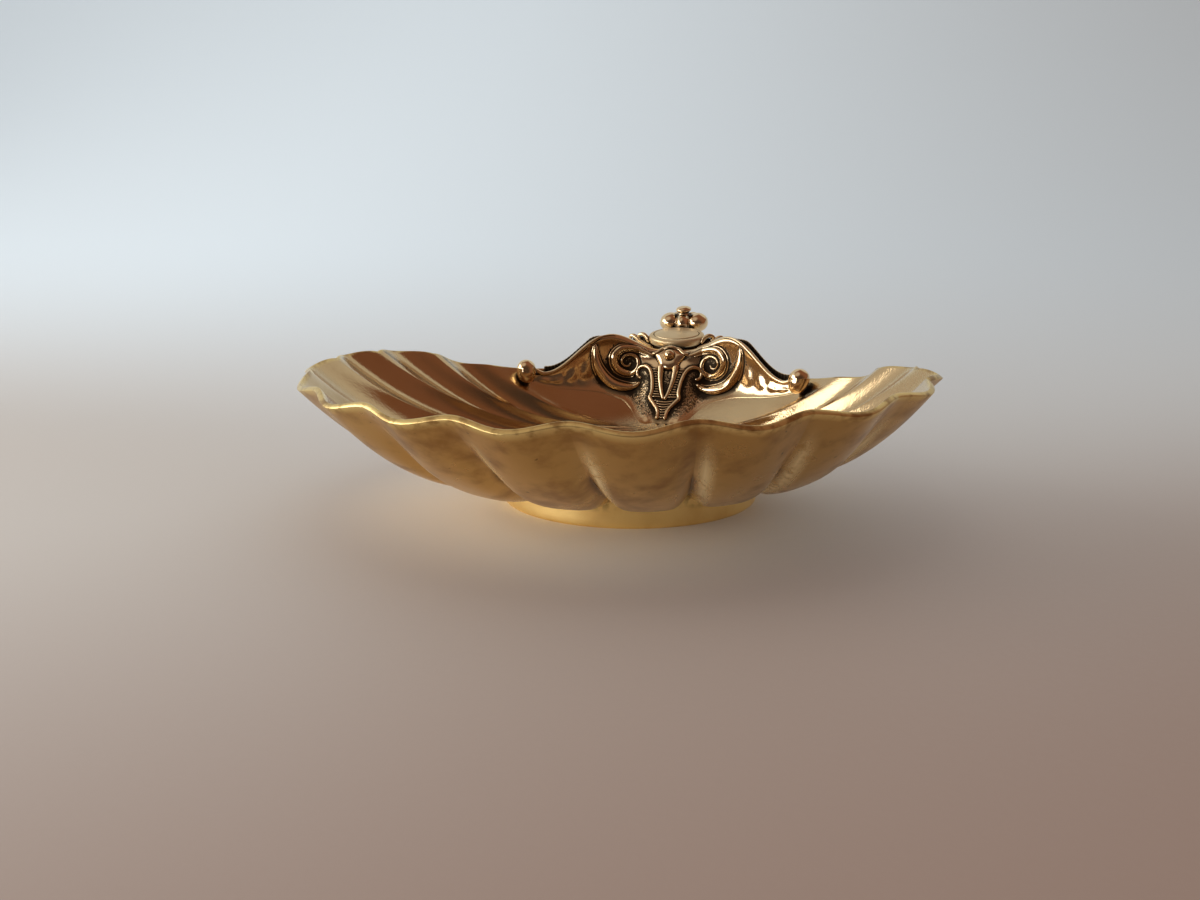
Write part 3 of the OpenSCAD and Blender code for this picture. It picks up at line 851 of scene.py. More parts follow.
@dataclass
class Bowl:
    """Fluted bowl, with a bead along each rib of its inside and a groove outside."""

    form: ShellForm
    lobe_steps: int = 20
    back_steps: int = 40
    inner_rows: int = 96
    outer_rows: int = 84
    row_power: float = 1.12
    rim_rows: int = 7
    rim_short: float = 0.004
    rim_bulge: float = 0.22
    bead_height: float = 0.45
    bead_share: float = 0.26
    bead_power: float = 1.5
    crease_depth: float = 0.20
    crease_at: tuple[float, float] = (1.3, 0.3)
    groove_depth: float = 1.1
    groove_from: float = 0.55
    groove_power: float = 1.3
    full_from: tuple[float, float] = (0.22, 0.44)
    more_depth: float = 0.6
    pillow: float = 3.2
    tuck: float = 0.7
    tuck_at: tuple[float, float] = (0.48, 0.12)
    soft_from: float = 0.72
    soft_share: float = 0.95
    # Painted highlight lines: across the lobes' left shoulders up to a level, and along the hems where the
    # lobes turn under.
    worn_at: tuple[float, float] = (0.80, 0.12)
    worn_end: tuple[float, float] = (0.84, 0.14)
    hem_at: tuple[float, float] = (0.27, 0.08)
    hem_power: float = 4
    hem_share: float = 0.8
    dirt_at: tuple[float, float] = (1.35, 0.4)
    speck_at: tuple[float, float] = (2.0, 0.9)
    speck_share: float = 0.55
    dirt_from: tuple[float, float] = (0.24, 0.15)
    stain_end: tuple[float, float] = (0.78, 0.2)
    stain_fade: float = 0.8
    low_end: tuple[float, float] = (0.45, 0.25)

    def columns(self) -> Columns:
        """Work out the columns of the skin.

        Returns:
            The columns of the fan of flutes, then those of the plain back.
        """
        f = self.form
        across = np.sin(np.pi / 2 * np.linspace(-1, 1, self.lobe_steps, endpoint=False))
        lobe = np.repeat(np.arange(f.lobes), self.lobe_steps)
        across = np.tile(across, f.lobes)
        fan = f.rib_angle(2 * (lobe + (across + 1) / 2) / f.lobes - 1)
        back = np.linspace(f.fan_half, 360 - f.fan_half, self.back_steps, endpoint=False)
        back = np.where(back > 180, back - 360, back)
        angle = np.concatenate([fan, back])
        across = np.concatenate([across, np.zeros(self.back_steps)])
        fluted = np.arange(len(angle)) < len(fan)
        u = np.where(fluted, np.abs(across), 1.0)
        behind = fluted & (across * np.sign(angle) < 0)
        from_rib = (1 - u) / self.bead_share
        groove = smooth((u - self.groove_from) / (1 - self.groove_from)) ** self.groove_power
        bead = self.bead_height * np.maximum(0, 1 - from_rib**2) ** self.bead_power
        crease = self.crease_depth * bell(from_rib, *self.crease_at)
        return Columns(
            angle=angle,
            across=across,
            edge=u,
            fluted=fluted,
            behind=behind,
            from_rib=from_rib,
            lobe=np.where(fluted, 1 - u**f.lobe_power, 0.0),
            pillow=np.where(fluted, 1 - u**self.pillow, 0.0),
            swell=np.where(fluted, 1 - wave(u), 0.0),
            cut=np.where(fluted, self.groove_depth * groove, 0.0),
            bead=np.where(fluted, bead, 0.0) - np.where(behind, crease, 0.0),
        )

    def skin(self, c: Columns, rows: Array, under: bool) -> tuple[Array, Array, Array]:
        """Work out one skin of the wall.

        Args:
            c: The columns of the skin.
            rows: Shares of the way from the fan's point to the rim.
            under: True for the outside, False for the inside.

        Returns:
            The points, the outlines that they lie on, and the slope of the smooth bowl there.
        """
        f = self.form
        share = rows[:, None] * (f.reach(c.angle, c.lobe) - self.rim_short)[None, :]
        plan = f.fan_point(np.broadcast_to(c.angle, share.shape), share)
        x, y = plan[..., 0], plan[..., 1]
        fade, level = f.flute(x, y), f.level(x, y)
        near_rim = smooth((level - self.soft_from) / (1 - self.soft_from))
        shape = mix(c.pillow if under else c.lobe, c.swell, self.soft_share * near_rim)
        full = smooth((level - self.full_from[0]) / (self.full_from[1] - self.full_from[0]))
        full = full * ramp(np.hypot(x, y - f.fan_y), f.fan_clear, f.fan_fade)
        tuck = bell(level, *self.tuck_at)
        if under:
            drop = fade * shape - c.cut * full * (1 - near_rim) + f.thickness(x, y)
            drop = drop - self.tuck * tuck * shape
        else:
            more = self.more_depth * full * (1 - near_rim) * (1 - tuck)
            drop = (fade + more) * shape - c.bead * full * (1 - near_rim)
        out = f.normal(x, y)
        place = np.stack([x, y, f.z(x, y)], -1) - drop[..., None] * out
        return place, level, np.hypot(out[..., 0], out[..., 1]) / out[..., 2]

    def roll(self, top: Array, bottom: Array) -> tuple[Array, Array]:
        """Round the rim over from the inside to the outside.

        Args:
            top: Rows of the inside, up to the rim.
            bottom: Rows of the outside, down from the rim.

        Returns:
            The rows of the rim, and how far each belongs to the inside.
        """
        half = (top[-1] - bottom[0]) / 2
        out = top[-1] - top[-4]
        out /= np.linalg.norm(out, axis=-1, keepdims=True)
        turn = np.pi * (np.arange(self.rim_rows) + 1) / (self.rim_rows + 1)
        bulge = self.rim_bulge * np.linalg.norm(half, axis=-1, keepdims=True)
        rows = [bottom[0] + half * (1 + np.cos(t)) + out * bulge * np.sin(t) for t in turn]
        return np.stack(rows), np.cos(turn) / 2 + 0.5

    def worn(self, c: Columns, level: Array, slope: Array) -> Array:
        """Mark the painted highlight lines on the outside: the lobes' left shoulders and their hems.

        Args:
            c: The columns of the skin.
            level: Outlines that the points lie on.
            slope: Slope of the smooth bowl at the points.

        Returns:
            The mark, from 0 to 1.
        """
        left = bell(-c.across, *self.worn_at) * (1 - ramp(level, *self.worn_end))
        hem = bell(slope, *self.hem_at) * (1 - c.edge**self.hem_power)
        return np.maximum(left, self.hem_share * hem)

    def dirt(self, c: Columns, level: Array) -> Array:
        """Mark the dirt in the creases of the inside, on one side of each rib.

        Args:
            c: The columns of the skin.
            level: Outlines that the points lie on.

        Returns:
            The mark, from 0 to 1.
        """
        specks = self.speck_share * bell(c.from_rib, *self.speck_at)
        lines = np.maximum(bell(c.from_rib, *self.dirt_at), specks)
        return np.where(c.behind, lines, 0.0) * ramp(level, *self.dirt_from)

    def build(self) -> bpy.types.Object:
        """Make the bowl from the fan's point out along the inside, over the rim and back.

        Returns:
            The new piece.
        """
        f, c = self.form, self.columns()
        inner = np.linspace(0, 1, self.inner_rows + 1)[1:] ** self.row_power
        outer = (np.linspace(0, 1, self.outer_rows + 1)[1:] ** self.row_power)[::-1]
        top, top_level, _ = self.skin(c, inner, False)
        bottom, level, slope = self.skin(c, outer, True)
        roll, inward = self.roll(top, bottom)
        rings = np.concatenate([top, roll, bottom])
        start, end = len(top), len(top) + len(roll)
        names = ("inside", "rim", "groove", "low", "crease", "shoulder")
        marks = {name: np.zeros(rings.shape[:2]) for name in names}
        marks["inside"][:start] = 1.0
        marks["inside"][start:end] = inward[:, None]
        marks["rim"][start - 1 : end + 1] = 1.0
        marks["groove"][end:] = c.edge * c.fluted * (1 - self.stain_fade * ramp(level, *self.stain_end))
        marks["low"][end:] = 1 - ramp(level, *self.low_end)
        marks["crease"][:start] = self.dirt(c, top_level)
        # The shoulder mark carries the painted highlight lines.
        marks["shoulder"][end:] = self.worn(c, level, slope)
        tip = np.array([0, f.fan_y, float(f.z(0.0, f.fan_y))])
        tip_under = tip - f.wall * f.normal(np.array(0.0), np.array(f.fan_y))
        return Bench.net("shell_bowl_brass", rings, tip, tip_under, marks)


@dataclass
class Foot:
    """Plain round foot with softened edges, its top let into the lobes."""

    radius: float = 29.8
    wall: float = 2.2
    edge: float = 0.7
    let_in: float = 0.5
    clear: float = 0.1
    soil_from: tuple[float, float] = (0.5, 0.45)
    steps: int = 360

    def top(self, tree: BVHTree, x: Array, y: Array) -> Array:
        """Find heights inside the bowl's wall.

        Args:
            tree: Search tree of the bowl.
            x: Places across.
            y: Places back.

        Returns:
            Heights at the share of the wall that the foot is let in.
        """
        rows = []
        for spot in zip(x.ravel() * MM, y.ravel() * MM):
            outer = tree.ray_cast((*spot, 0.0), (0, 0, 1))[0]
            inner = tree.ray_cast((*spot, outer.z + self.clear * MM), (0, 0, 1))[0]
            rows.append(mix(outer.z, inner.z, self.let_in) / MM)
        return np.reshape(rows, x.shape)

    def build(self, bowl: bpy.types.Object) -> bpy.types.Object:
        """Make the foot as a ring of upright sections.

        Args:
            bowl: The bowl that the foot is let into.

        Returns:
            The new piece.
        """
        inner, e = self.radius - self.wall, self.edge
        quarter = np.linspace(0, np.pi / 2, 5)
        wall = (1.0, 0.75, 0.5, 0.25)
        rows = [(self.radius, share, 0.0) for share in wall]
        rows += [(self.radius - e * (1 - math.cos(a)), 0.0, e * (1 - math.sin(a))) for a in quarter]
        rows += [(inner + e * (1 - math.cos(a)), 0.0, e * (1 - math.sin(a))) for a in quarter[::-1]]
        rows += [(inner, share, 0.0) for share in wall[::-1]]
        radius, share, rise = np.array(rows[::-1]).T[:, None, :]
        turn = np.linspace(0, 2 * np.pi, self.steps, endpoint=False)[:, None]
        x, y = radius * np.cos(turn), radius * np.sin(turn)
        rings = np.stack([x, y, share * self.top(Bench.tree([bowl]), x, y) + rise], -1)
        soil = np.broadcast_to(ramp(share, *self.soil_from), x.shape)
        return Bench.hoop("foot_ring_brass", rings, {"soil": soil})


@dataclass(frozen=True)
class Face:
    """Front of the crest: two wings and a tongue, flared out over the bowl along their foot."""

    form: ShellForm
    inset: float = 3.2
    flat: float = 9.0
    tongue_half: float = 3.4
    tongue_fade: float = 9.0
    tongue_reach: float = 11.6
    wing_slope: float = 0.58
    wing_reach: float = 35.4
    dip_inset: float = 2.4
    dip_drop: float = 0.9
    plate: float = 1.8
    shoulder_h: float = 9.4
    shoulder_x: float = 16.5
    saddle_h: float = 5.1
    saddle_x: float = 4.2
    gallery_t: float = 1.2
    gallery_h: float = 1.8
    seat: float = 0.3
    flare: tuple[tuple[float, float], ...] = (
        (0.0, 0.9),
        (2.6, 1.2),
        (5.0, 3.0),
        (8.0, 5.4),
        (11.0, 5.8),
        (15.0, 3.6),
        (19.0, 2.0),
        (24.0, 1.2),
        (29.0, 0.8),
        (36.0, 0.2),
    )
    flare_rise: tuple[float, float] = (2.6, 0.85)
    skirt: float = 0.1
    skirt_rise: float = 2.0
    blend: float = 0.25
    bowl_span: tuple[float, float] = (20.0, 60.0)

    @property
    def dip_x(self) -> float:
        """Dip in the upper edge beside each drop."""
        return self.wing_reach - self.dip_inset

    def y(self, x: Array) -> Array:
        """Front of the crest's upper edge in plan."""
        return self.form.hinge_y - self.inset - self.wing_slope * np.maximum(0, np.abs(x) - self.flat)

    def top(self, x: Array) -> Array:
        """Work out the height of the crest's upper edge.

        Args:
            x: Places across.

        Returns:
            Heights.
        """
        b = np.abs(x)
        fall = wave((b - self.shoulder_x) / (self.dip_x - self.shoulder_x))
        rise = wave((b - self.saddle_x) / (self.shoulder_x - self.saddle_x))
        outer = mix(self.shoulder_h, -self.dip_drop, fall)
        inner = mix(self.saddle_h, self.shoulder_h, rise)
        return self.form.hinge_z + np.where(b > self.shoulder_x, outer, inner)

    @property
    def tongue_tip(self) -> Array:
        """Tip of the tongue in the middle plane."""
        y = float(self.y(0.0)) - self.tongue_reach
        return np.array([0.0, y, float(self.form.z(0.0, y)) + self.seat])

    @property
    def tongue_tilt(self) -> float:
        """Slope of the tongue in radians."""
        return math.atan2(float(self.top(0.0)) - self.tongue_tip[2], self.tongue_reach)

    def foot_y(self, x: Array) -> Array:
        """Find the lower edge of the face before its flare.

        Args:
            x: Places across.

        Returns:
            Distances back: of the tongue in the middle and of the wings' foot outside.
        """
        x = np.abs(np.asarray(x, float))
        near, tip = np.minimum(x, self.flat), self.tongue_tip
        low, high = np.zeros_like(x), np.full_like(x, self.tongue_reach)
        for _ in range(16):
            d = (low + high) / 2
            over = tip[2] + d * math.tan(self.tongue_tilt) - self.form.z(near, tip[1] + d) - self.seat > 0
            low, high = np.where(over, low, d), np.where(over, d, high)
        tongue = np.minimum(tip[1] + (low + high) / 2, self.y(x))
        return mix(tongue, self.y(x), smooth((x - self.tongue_half) / self.tongue_fade))

    def reach(self, x: Array) -> Array:
        """How far the foot flares out over the bowl: least under the strap and at the drops."""
        curve = spline(self.flare, 200)
        return np.interp(np.abs(x), curve[:, 0], curve[:, 1])

    def low(self, x: Array) -> Array:
        """Height of the flared foot."""
        return self.form.z(x, self.foot_y(x) - self.reach(x))

    def bowl_y(self, x: Array, z: Array) -> Array:
        """Find where the inside of the bowl reaches a height.

        Args:
            x: Places across.
            z: Heights.

        Returns:
            Distances back.
        """
        low, high = (np.full(np.shape(x), end) for end in self.bowl_span)
        for _ in range(14):
            y = (low + high) / 2
            under = self.form.z(x, y) < z
            low, high = np.where(under, y, low), np.where(under, high, y)
        return (low + high) / 2

    def at(self, x: Array, z: Array) -> Array:
        """Work out the face, which always lies just over the bowl.

        Args:
            x: Places across.
            z: Heights.

        Returns:
            Distances back.
        """
        y0, low = self.foot_y(x), self.low(x)
        z0 = self.form.z(x, y0) + self.seat
        reach = self.reach(x)
        rise = self.flare_rise[0] + self.flare_rise[1] * reach
        y = mix(y0, self.y(x), np.clip((z - z0) / (self.top(x) - z0), 0, 1))
        y = y - reach * np.clip(1 - (z - low) / rise, 0, 1) ** 2
        bed = self.bowl_y(x, z) - self.skirt * smooth((z - low) / self.skirt_rise)
        return np.minimum(y, bed) - self.blend * np.log1p(np.exp(-np.abs(y - bed) / self.blend))

    def normal(self, x: Array, z: Array, step: float = 0.2) -> Array:
        """Work out the direction that points out of the face.

        Args:
            x: Places across.
            z: Heights.
            step: Distance to the neighbours that give the slope.

        Returns:
            Directions of length 1.
        """
        gx = (self.at(x + step, z) - self.at(x - step, z)) / (2 * step)
        gz = (self.at(x, z + step) - self.at(x, z - step)) / (2 * step)
        n = np.stack([gx, -np.ones_like(gx), gz], -1)
        return n / np.linalg.norm(n, axis=-1, keepdims=True)

    def on(self, x: Array, z: Array, out: Array | float = 0.0) -> Array:
        """Find points on the face, or in front of it.

        Args:
            x: Places across.
            z: Heights.
            out: Distance in front of the face.

        Returns:
            Rows of x, y and z.
        """
        x, z = np.broadcast_arrays(np.asarray(x, float), np.asarray(z, float))
        lift = np.broadcast_to(np.asarray(out, float), x.shape)[..., None]
        return np.stack([x, self.at(x, z), z], -1) + self.normal(x, z) * lift

    def band(self, name: str, line: Array, out: float, sides: int = 3) -> bpy.types.Object:
        """Round band on the face.

        Args:
            name: Name of the piece.
            line: Rows of x, z and radius.
            out: Distance of the band's middle line in front of the face, as a share of its radius.
            sides: Steps in a quarter of its outline.

        Returns:
            The band as a mesh.
        """
        return Bench.tube(name, self.on(line[:, 0], line[:, 1], out * line[:, 2]), line[:, 2], sides)


def beside(line: Array, share: float, more: float = 0.0) -> Array:
    """Path beside a band.

    Args:
        line: Rows of x, z and half width.
        share: Distance to the left of the band's run, as a share of its half width.
        more: Further distance to the same side.

    Returns:
        Rows of x and z.
    """
    run = np.gradient(line[:, :2], axis=0)
    run /= np.linalg.norm(run, axis=1, keepdims=True)
    left = np.stack([-run[:, 1], run[:, 0]], -1)
    return line[:, :2] + left * (line[:, 2:3] * share + more * math.copysign(1, share))


@dataclass
class Crest:
    """Cast body of the crest, the ribbed channels behind its wings and the drops at their ends."""

    face: Face
    steps: int = 361
    folds: tuple[float, ...] = (22.8, 26.2, 29.5, 32.4)
    fold_half: float = 2.0
    fold_rise: float = 0.60
    fold_power: float = 1.4
    fold_from: float = 0.25
    fold_top: float = 0.75
    roll_rise: float = 0.55
    roll_at: float = 0.08
    roll_half: float = 0.06
    roll_start: tuple[float, float] = (3.0, 3.0)
    roll_end: tuple[float, float] = (20.0, 6.0)
    relief_rise: float = 0.40
    edge_round: float = 0.75
    front_rows: int = 44
    sink: float = 0.2
    ground_x: tuple[float, float] = (13.0, 8.0)
    ground_top: tuple[float, float] = (0.55, 0.2)
    wing_ground: tuple[float, float] = (0.5, 0.35)
    ground_rise: float = 2.5
    bed_rise: float = 2.0
    rim_radius: float = 0.55
    rim_thin: float = 0.1
    rim_swell: float = 7.0
    rim_start: float = 15.0
    rim_past: float = 1.2
    rim_drop: float = 0.3
    rim_curl: float = 2.0
    curl_from: tuple[float, float] = (-0.6, 4.6)
    gallery_ends: tuple[float, float] = (1.5, 0.6)
    gallery_lap: float = 0.15
    gallery_thin: float = 0.25
    gallery_swell: float = 6.0
    gallery_rise: float = 0.3
    gallery_soot: float = 0.55
    ribs: int = 20
    rib_steps: int = 12
    rib_power: float = 0.6
    rib_depth: float = 0.34
    soot_reach: float = 0.9
    soot_share: float = 0.3
    drop_radius: float = 2.65
    drop_height: float = 3.6
    drop_past: float = 2.8
    drop_back: float = 0.6
    drop_lift: float = 0.25
    drop_taper: float = 0.25
    drop_lean: tuple[float, float] = (-0.14, -0.20)
    drop_soot: float = -0.2

    def soot(self, x: Array, z: Array, bands: Sequence[Array]) -> Array:
        """Work out the soot in the channels beside bands, by the distance from their edges.

        Args:
            x: Places across.
            z: Heights.
            bands: Rows of x, z and half width of each band.

        Returns:
            The mark.
        """
        dark = np.zeros(x.shape)
        for band in bands:
            apart = np.hypot(np.abs(x)[..., None] - band[:, 0], z[..., None] - band[:, 1]) - band[:, 2]
            dark = np.maximum(dark, bell(np.maximum(0, apart.min(-1)), 0.0, self.soot_reach))
        return self.soot_share * dark

    def relief(self, x: Array, share: Array) -> Array:
        """Work out soft upright folds on the wings, and a roll below their upper edge.

        Args:
            x: Places across.
            share: Shares of the way from the bowl to the upper edge.

        Returns:
            Heights in front of the face.
        """
        b, rise = np.abs(x), np.zeros(x.shape)
        for middle in self.folds:
            away = np.abs(b - middle)
            fold = np.maximum(0, np.cos(away / self.fold_half * np.pi / 2)) ** self.fold_power
            rise = rise + fold * (away < self.fold_half)
        roll = self.roll_rise * bell(1 - share, self.roll_at, self.roll_half)
        roll = roll * (1 - ramp(b, *self.roll_end)) * ramp(b, *self.roll_start)
        fade = 1 - smooth((share - self.fold_from) / (self.fold_top - self.fold_from))
        return self.fold_rise * rise * fade + roll

    def body(self, bands: Sequence[Array]) -> bpy.types.Object:
        """Make the body: relief in front, a rounded upper edge, a plain back and a bed on the bowl.

        Args:
            bands: Rows of x, z and half width of the bands that lie on it, for the soot.

        Returns:
            The new piece.
        """
        c, f = self.face, self.face.form
        x = np.linspace(-c.wing_reach, c.wing_reach, self.steps)[:, None]
        y1, z1, low = c.y(x), c.top(x), c.low(x)
        half, lip = c.plate / 2, self.edge_round * c.plate / 2
        up = np.linspace(0, 1, self.front_rows)[None, :] ** 1.1
        z = mix(low - 0.35, z1 - lip, up)
        wide = np.broadcast_to(x, z.shape)
        share = (z - low) / (z1 - low)
        front = c.on(wide, z, self.relief(wide, share) * smooth(share / self.relief_rise))
        front[..., 0] = wide
        front[:, 0, 2] -= self.sink
        turn = np.linspace(0, np.pi, 9)[None, 1:]
        over_y, over_z = y1 + half * (1 - np.cos(turn)), z1 - lip * (1 - np.sin(turn))
        over = np.stack([np.broadcast_to(x, over_y.shape), over_y, over_z], -1)
        down = np.linspace(0, 1, 8)[None, 1:]
        back_y = y1 + c.plate + 0 * down
        back_x = np.broadcast_to(x, back_y.shape)
        back_z = mix(z1 - lip, f.z(back_x, back_y) - self.sink, down)
        back = np.stack([back_x, back_y, back_z], -1)
        bed_y = mix(c.foot_y(x) - c.reach(x), y1 + c.plate, np.linspace(1, 0, 8)[None, 1:-1])
        bed_x = np.broadcast_to(x, bed_y.shape)
        bed = np.stack([bed_x, bed_y, f.z(bed_x, bed_y) - self.sink], -1)
        rings = np.concatenate([front, over, back, bed], axis=1)
        marks = {name: np.zeros(rings.shape[:2]) for name in ("stipple", "soot", "bed")}
        ground = (1 - ramp(np.abs(x), *self.ground_x)) * (1 - ramp(share, *self.ground_top))
        wing = self.wing_ground[0] * (1 - smooth(share / self.wing_ground[1]))
        rows = self.front_rows
        marks["stipple"][:, :rows] = np.maximum(ground, wing) * smooth((z - low) / self.ground_rise)
        marks["soot"][:, :rows] = self.soot(wide, z, bands)
        marks["bed"][:, :rows] = 1 - smooth((z - low) / self.bed_rise)
        return Bench.net("crest_casting", rings, rings[0].mean(0), rings[-1].mean(0), marks)

    def rim(self) -> bpy.types.Object:
        """Smooth rim along the right wing's upper edge, from the medallion to the drop.

        Returns:
            The new piece.
        """
        c = self.face
        wing = np.linspace(self.rim_start, c.dip_x, 90)
        end = np.linspace(c.dip_x, c.wing_reach + self.rim_past, 16)
        x = np.concatenate([wing, end[1:]])
        z = c.top(np.minimum(x, c.dip_x)) - self.rim_drop
        z = z + self.rim_curl * ramp(x - c.dip_x, *self.curl_from)
        radius = mix(self.rim_thin, self.rim_radius, ramp(x, self.rim_start, self.rim_swell))
        return Bench.tube("right_wing_rim", np.stack([x, c.y(x) - 0.1, z], -1), radius)

    def gallery(self) -> bpy.types.Object:
        """Ribbed channel behind the right wing, from the dip up to the shoulder, with a smooth back edge.

        Returns:
            The new piece.
        """
        c, f = self.face, self.face.form
        start, end = c.shoulder_x + self.gallery_ends[0], c.dip_x + self.gallery_ends[1]
        x = np.linspace(start, end, self.ribs * self.rib_steps + 1)
        share = (x - start) / (end - start)
        rib = (0.5 - 0.5 * np.cos(2 * np.pi * self.ribs * (x - start) / (end - start))) ** self.rib_power
        full = smooth(share / self.gallery_rise)
        grow = mix(self.gallery_thin, 1.0, ramp(x, start, self.gallery_swell))
        y0 = c.y(x) + c.plate - self.gallery_lap
        y1 = y0 + (c.gallery_t + self.gallery_lap) * grow
        rim_z = c.top(np.minimum(x, c.dip_x)) - self.rim_drop
        z1 = rim_z + 0.2 + (c.gallery_h - 0.1) * full
        wall = y1 - (0.45 + self.rib_depth * rib) * grow
        sections = [
            (y0, f.z(x, y0) - self.sink),
            (y0, mix(f.z(x, y0), rim_z, 0.6)),
            (y0, rim_z - 0.25),
            (y0 + 0.15 * grow, rim_z - 0.1),
            (wall - 0.08 * grow, rim_z - 0.05),
            (wall, rim_z + 0.15),
            (wall, mix(rim_z, z1, 0.6)),
            (wall + 0.04 * grow, z1 - 0.22),
            (y1 - 0.42 * grow, z1 - 0.06 - 0.10 * (1 - rib)),
            (y1 - 0.18 * grow, z1 - 0.05 * (1 - rib)),
            (y1, z1 - 0.2),
            (y1, mix(f.z(x, y1), z1, 0.5)),
            (y1, f.z(x, y1) - self.sink),
            ((y0 + y1) / 2, f.z(x, (y0 + y1) / 2) - self.sink),
        ]
        rings = np.stack([np.stack([x, y, z], -1) for y, z in sections], axis=1)
        soot = np.zeros(rings.shape[:2])
        soot[:, 3:8] = self.gallery_soot
        return Bench.net("right_gallery_ribs", rings, rings[0].mean(0), rings[-1].mean(0), {"soot": soot})

    def drop(self) -> bpy.types.Object:
        """Drop at the end of the right wing: a ball that leans down into the bowl.

        Returns:
            The new piece.
        """
        c, f = self.face, self.face.form
        x = c.wing_reach + self.drop_past
        y = float(c.y(x)) + self.drop_back
        n = f.normal(np.array(x), np.array(y))
        middle = np.array([x, y, float(f.z(x, y))]) + n * (self.drop_radius + self.drop_lift)
        tall = np.linspace(0, np.pi, 42)[1:-1]
        turn = np.linspace(0, 2 * np.pi, 48, endpoint=False)
        low = np.maximum(0, -np.cos(tall))
        r = self.drop_radius * np.sin(tall) ** (1 - self.drop_taper * low)
        z = np.cos(tall) * np.where(np.cos(tall) > 0, self.drop_radius, self.drop_height)
        lean = np.array(self.drop_lean) * np.maximum(0, -z)[:, None]
        rings = np.stack(
            [
                middle[0] + lean[:, :1] + r[:, None] * np.cos(turn),
                middle[1] + lean[:, 1:] + r[:, None] * np.sin(turn),
                middle[2] + z[:, None] + 0 * turn,
            ],
            -1,
        )
        marks = {"soot": np.full(rings.shape[:2], self.drop_soot)}
        return Bench.net("right_drop", rings, rings[0].mean(0), rings[-1].mean(0), marks)


@dataclass
class Scrolls:
    """Volutes beside the strap and the broad crescents around them, each with thin raised edges."""

    face: Face
    volute: tuple[tuple[float, float, float], ...] = (
        (4.5, 28.1, 0.40),
        (6.5, 28.7, 0.58),
        (9.0, 29.7, 0.78),
        (11.5, 30.3, 0.92),
        (13.8, 30.1, 1.02),
        (15.3, 28.7, 1.08),
        (15.6, 26.7, 1.12),
        (14.8, 24.6, 1.15),
        (12.9, 23.2, 1.10),
        (10.9, 23.1, 0.95),
        (9.4, 24.2, 0.78),
        (9.0, 25.9, 0.64),
        (9.8, 27.6, 0.54),
        (11.4, 28.4, 0.48),
        (13.1, 27.9, 0.44),
        (13.7, 26.4, 0.40),
        (13.0, 25.2, 0.36),
        (11.8, 25.2, 0.32),
        (11.3, 26.1, 0.28),
    )
    crescent: tuple[tuple[float, float, float], ...] = (
        (20.2, 31.6, 0.35),
        (20.3, 29.3, 0.70),
        (20.0, 26.6, 1.05),
        (19.1, 24.0, 1.35),
        (17.5, 21.6, 1.55),
        (15.4, 20.0, 1.60),
        (12.9, 19.3, 1.45),
        (10.6, 19.3, 1.10),
        (8.9, 20.0, 0.75),
        (8.0, 21.0, 0.40),
    )
    edge: float = 0.26
    ticks: int = 26
    tick_long: float = 0.75
    tick_radius: float = 0.13

    def line(self, name: str, path: Array, share: float, part: tuple[float, float]) -> bpy.types.Object:
        """Lay a thin raised edge beside a band.

        Args:
            name: Name of the edge.
            path: Rows of x, z and half width of the band.
            share: Distance from the band's middle, as a share of its half width.
            part: Start and end along the band, from 0 to 1.

        Returns:
            The new piece.
        """
        first, last = (int(p * (len(path) - 1)) for p in part)
        run = beside(path, share)[first : last + 1]
        return self.face.band(name, np.column_stack([run, np.full(len(run), self.edge)]), 0.55)

    def hatch(
        self, name: str, path: Array, share: float, part: tuple[float, float], count: int
    ) -> bpy.types.Object:
        """Lay a row of short ticks beside a band.

        Args:
            name: Name of the ticks.
            path: Rows of x, z and half width of the band.
            share: Distance from the band's middle, as a share of its half width.
            part: Start and end along the band, from 0 to 1.
            count: Number of ticks.

        Returns:
            The new piece.
        """
        rows = np.linspace(part[0], part[1], count) * (len(path) - 1)
        near, far = beside(path, share, self.edge), beside(path, share, self.edge + self.tick_long)
        bars = [self.face.on(*np.stack([near[int(k)], far[int(k)]]).T, 0.05) for k in rows]
        return Bench.bars(name, bars, [np.full(2, self.tick_radius)] * count, 1)

    def right_volute(self) -> bpy.types.Object:
        """Volute of the right side: a roll that winds in to its eye, between raised edges.

        Returns:
            The new piece.
        """
        path = spline(self.volute, 240)
        parts = [
            self.face.band("volute_roll", path, 0.1, 4),
            self.line("volute_outer_edge", path, 1.02, (0.0, 0.60)),
            self.line("volute_inner_edge", path, -1.02, (0.06, 0.40)),
            self.hatch("volute_hatch", path, 1.02, (0.22, 0.56), self.ticks),
        ]
        return Bench.join("right_volute_band", parts)

    def right_crescent(self) -> bpy.types.Object:
        """Broad crescent that hangs from the shoulder and curls under the volute.

        Returns:
            The new piece.
        """
        path = spline(self.crescent, 140)
        parts = [
            self.face.band("crescent_roll", path, 0.05, 5),
            self.line("crescent_inner_edge", path, -1.0, (0.03, 0.97)),
            self.line("crescent_outer_edge", path, 1.0, (0.02, 0.40)),
            self.hatch("crescent_hatch", path, 1.0, (0.03, 0.36), self.ticks // 2),
        ]
        return Bench.join("right_crescent_band", parts)


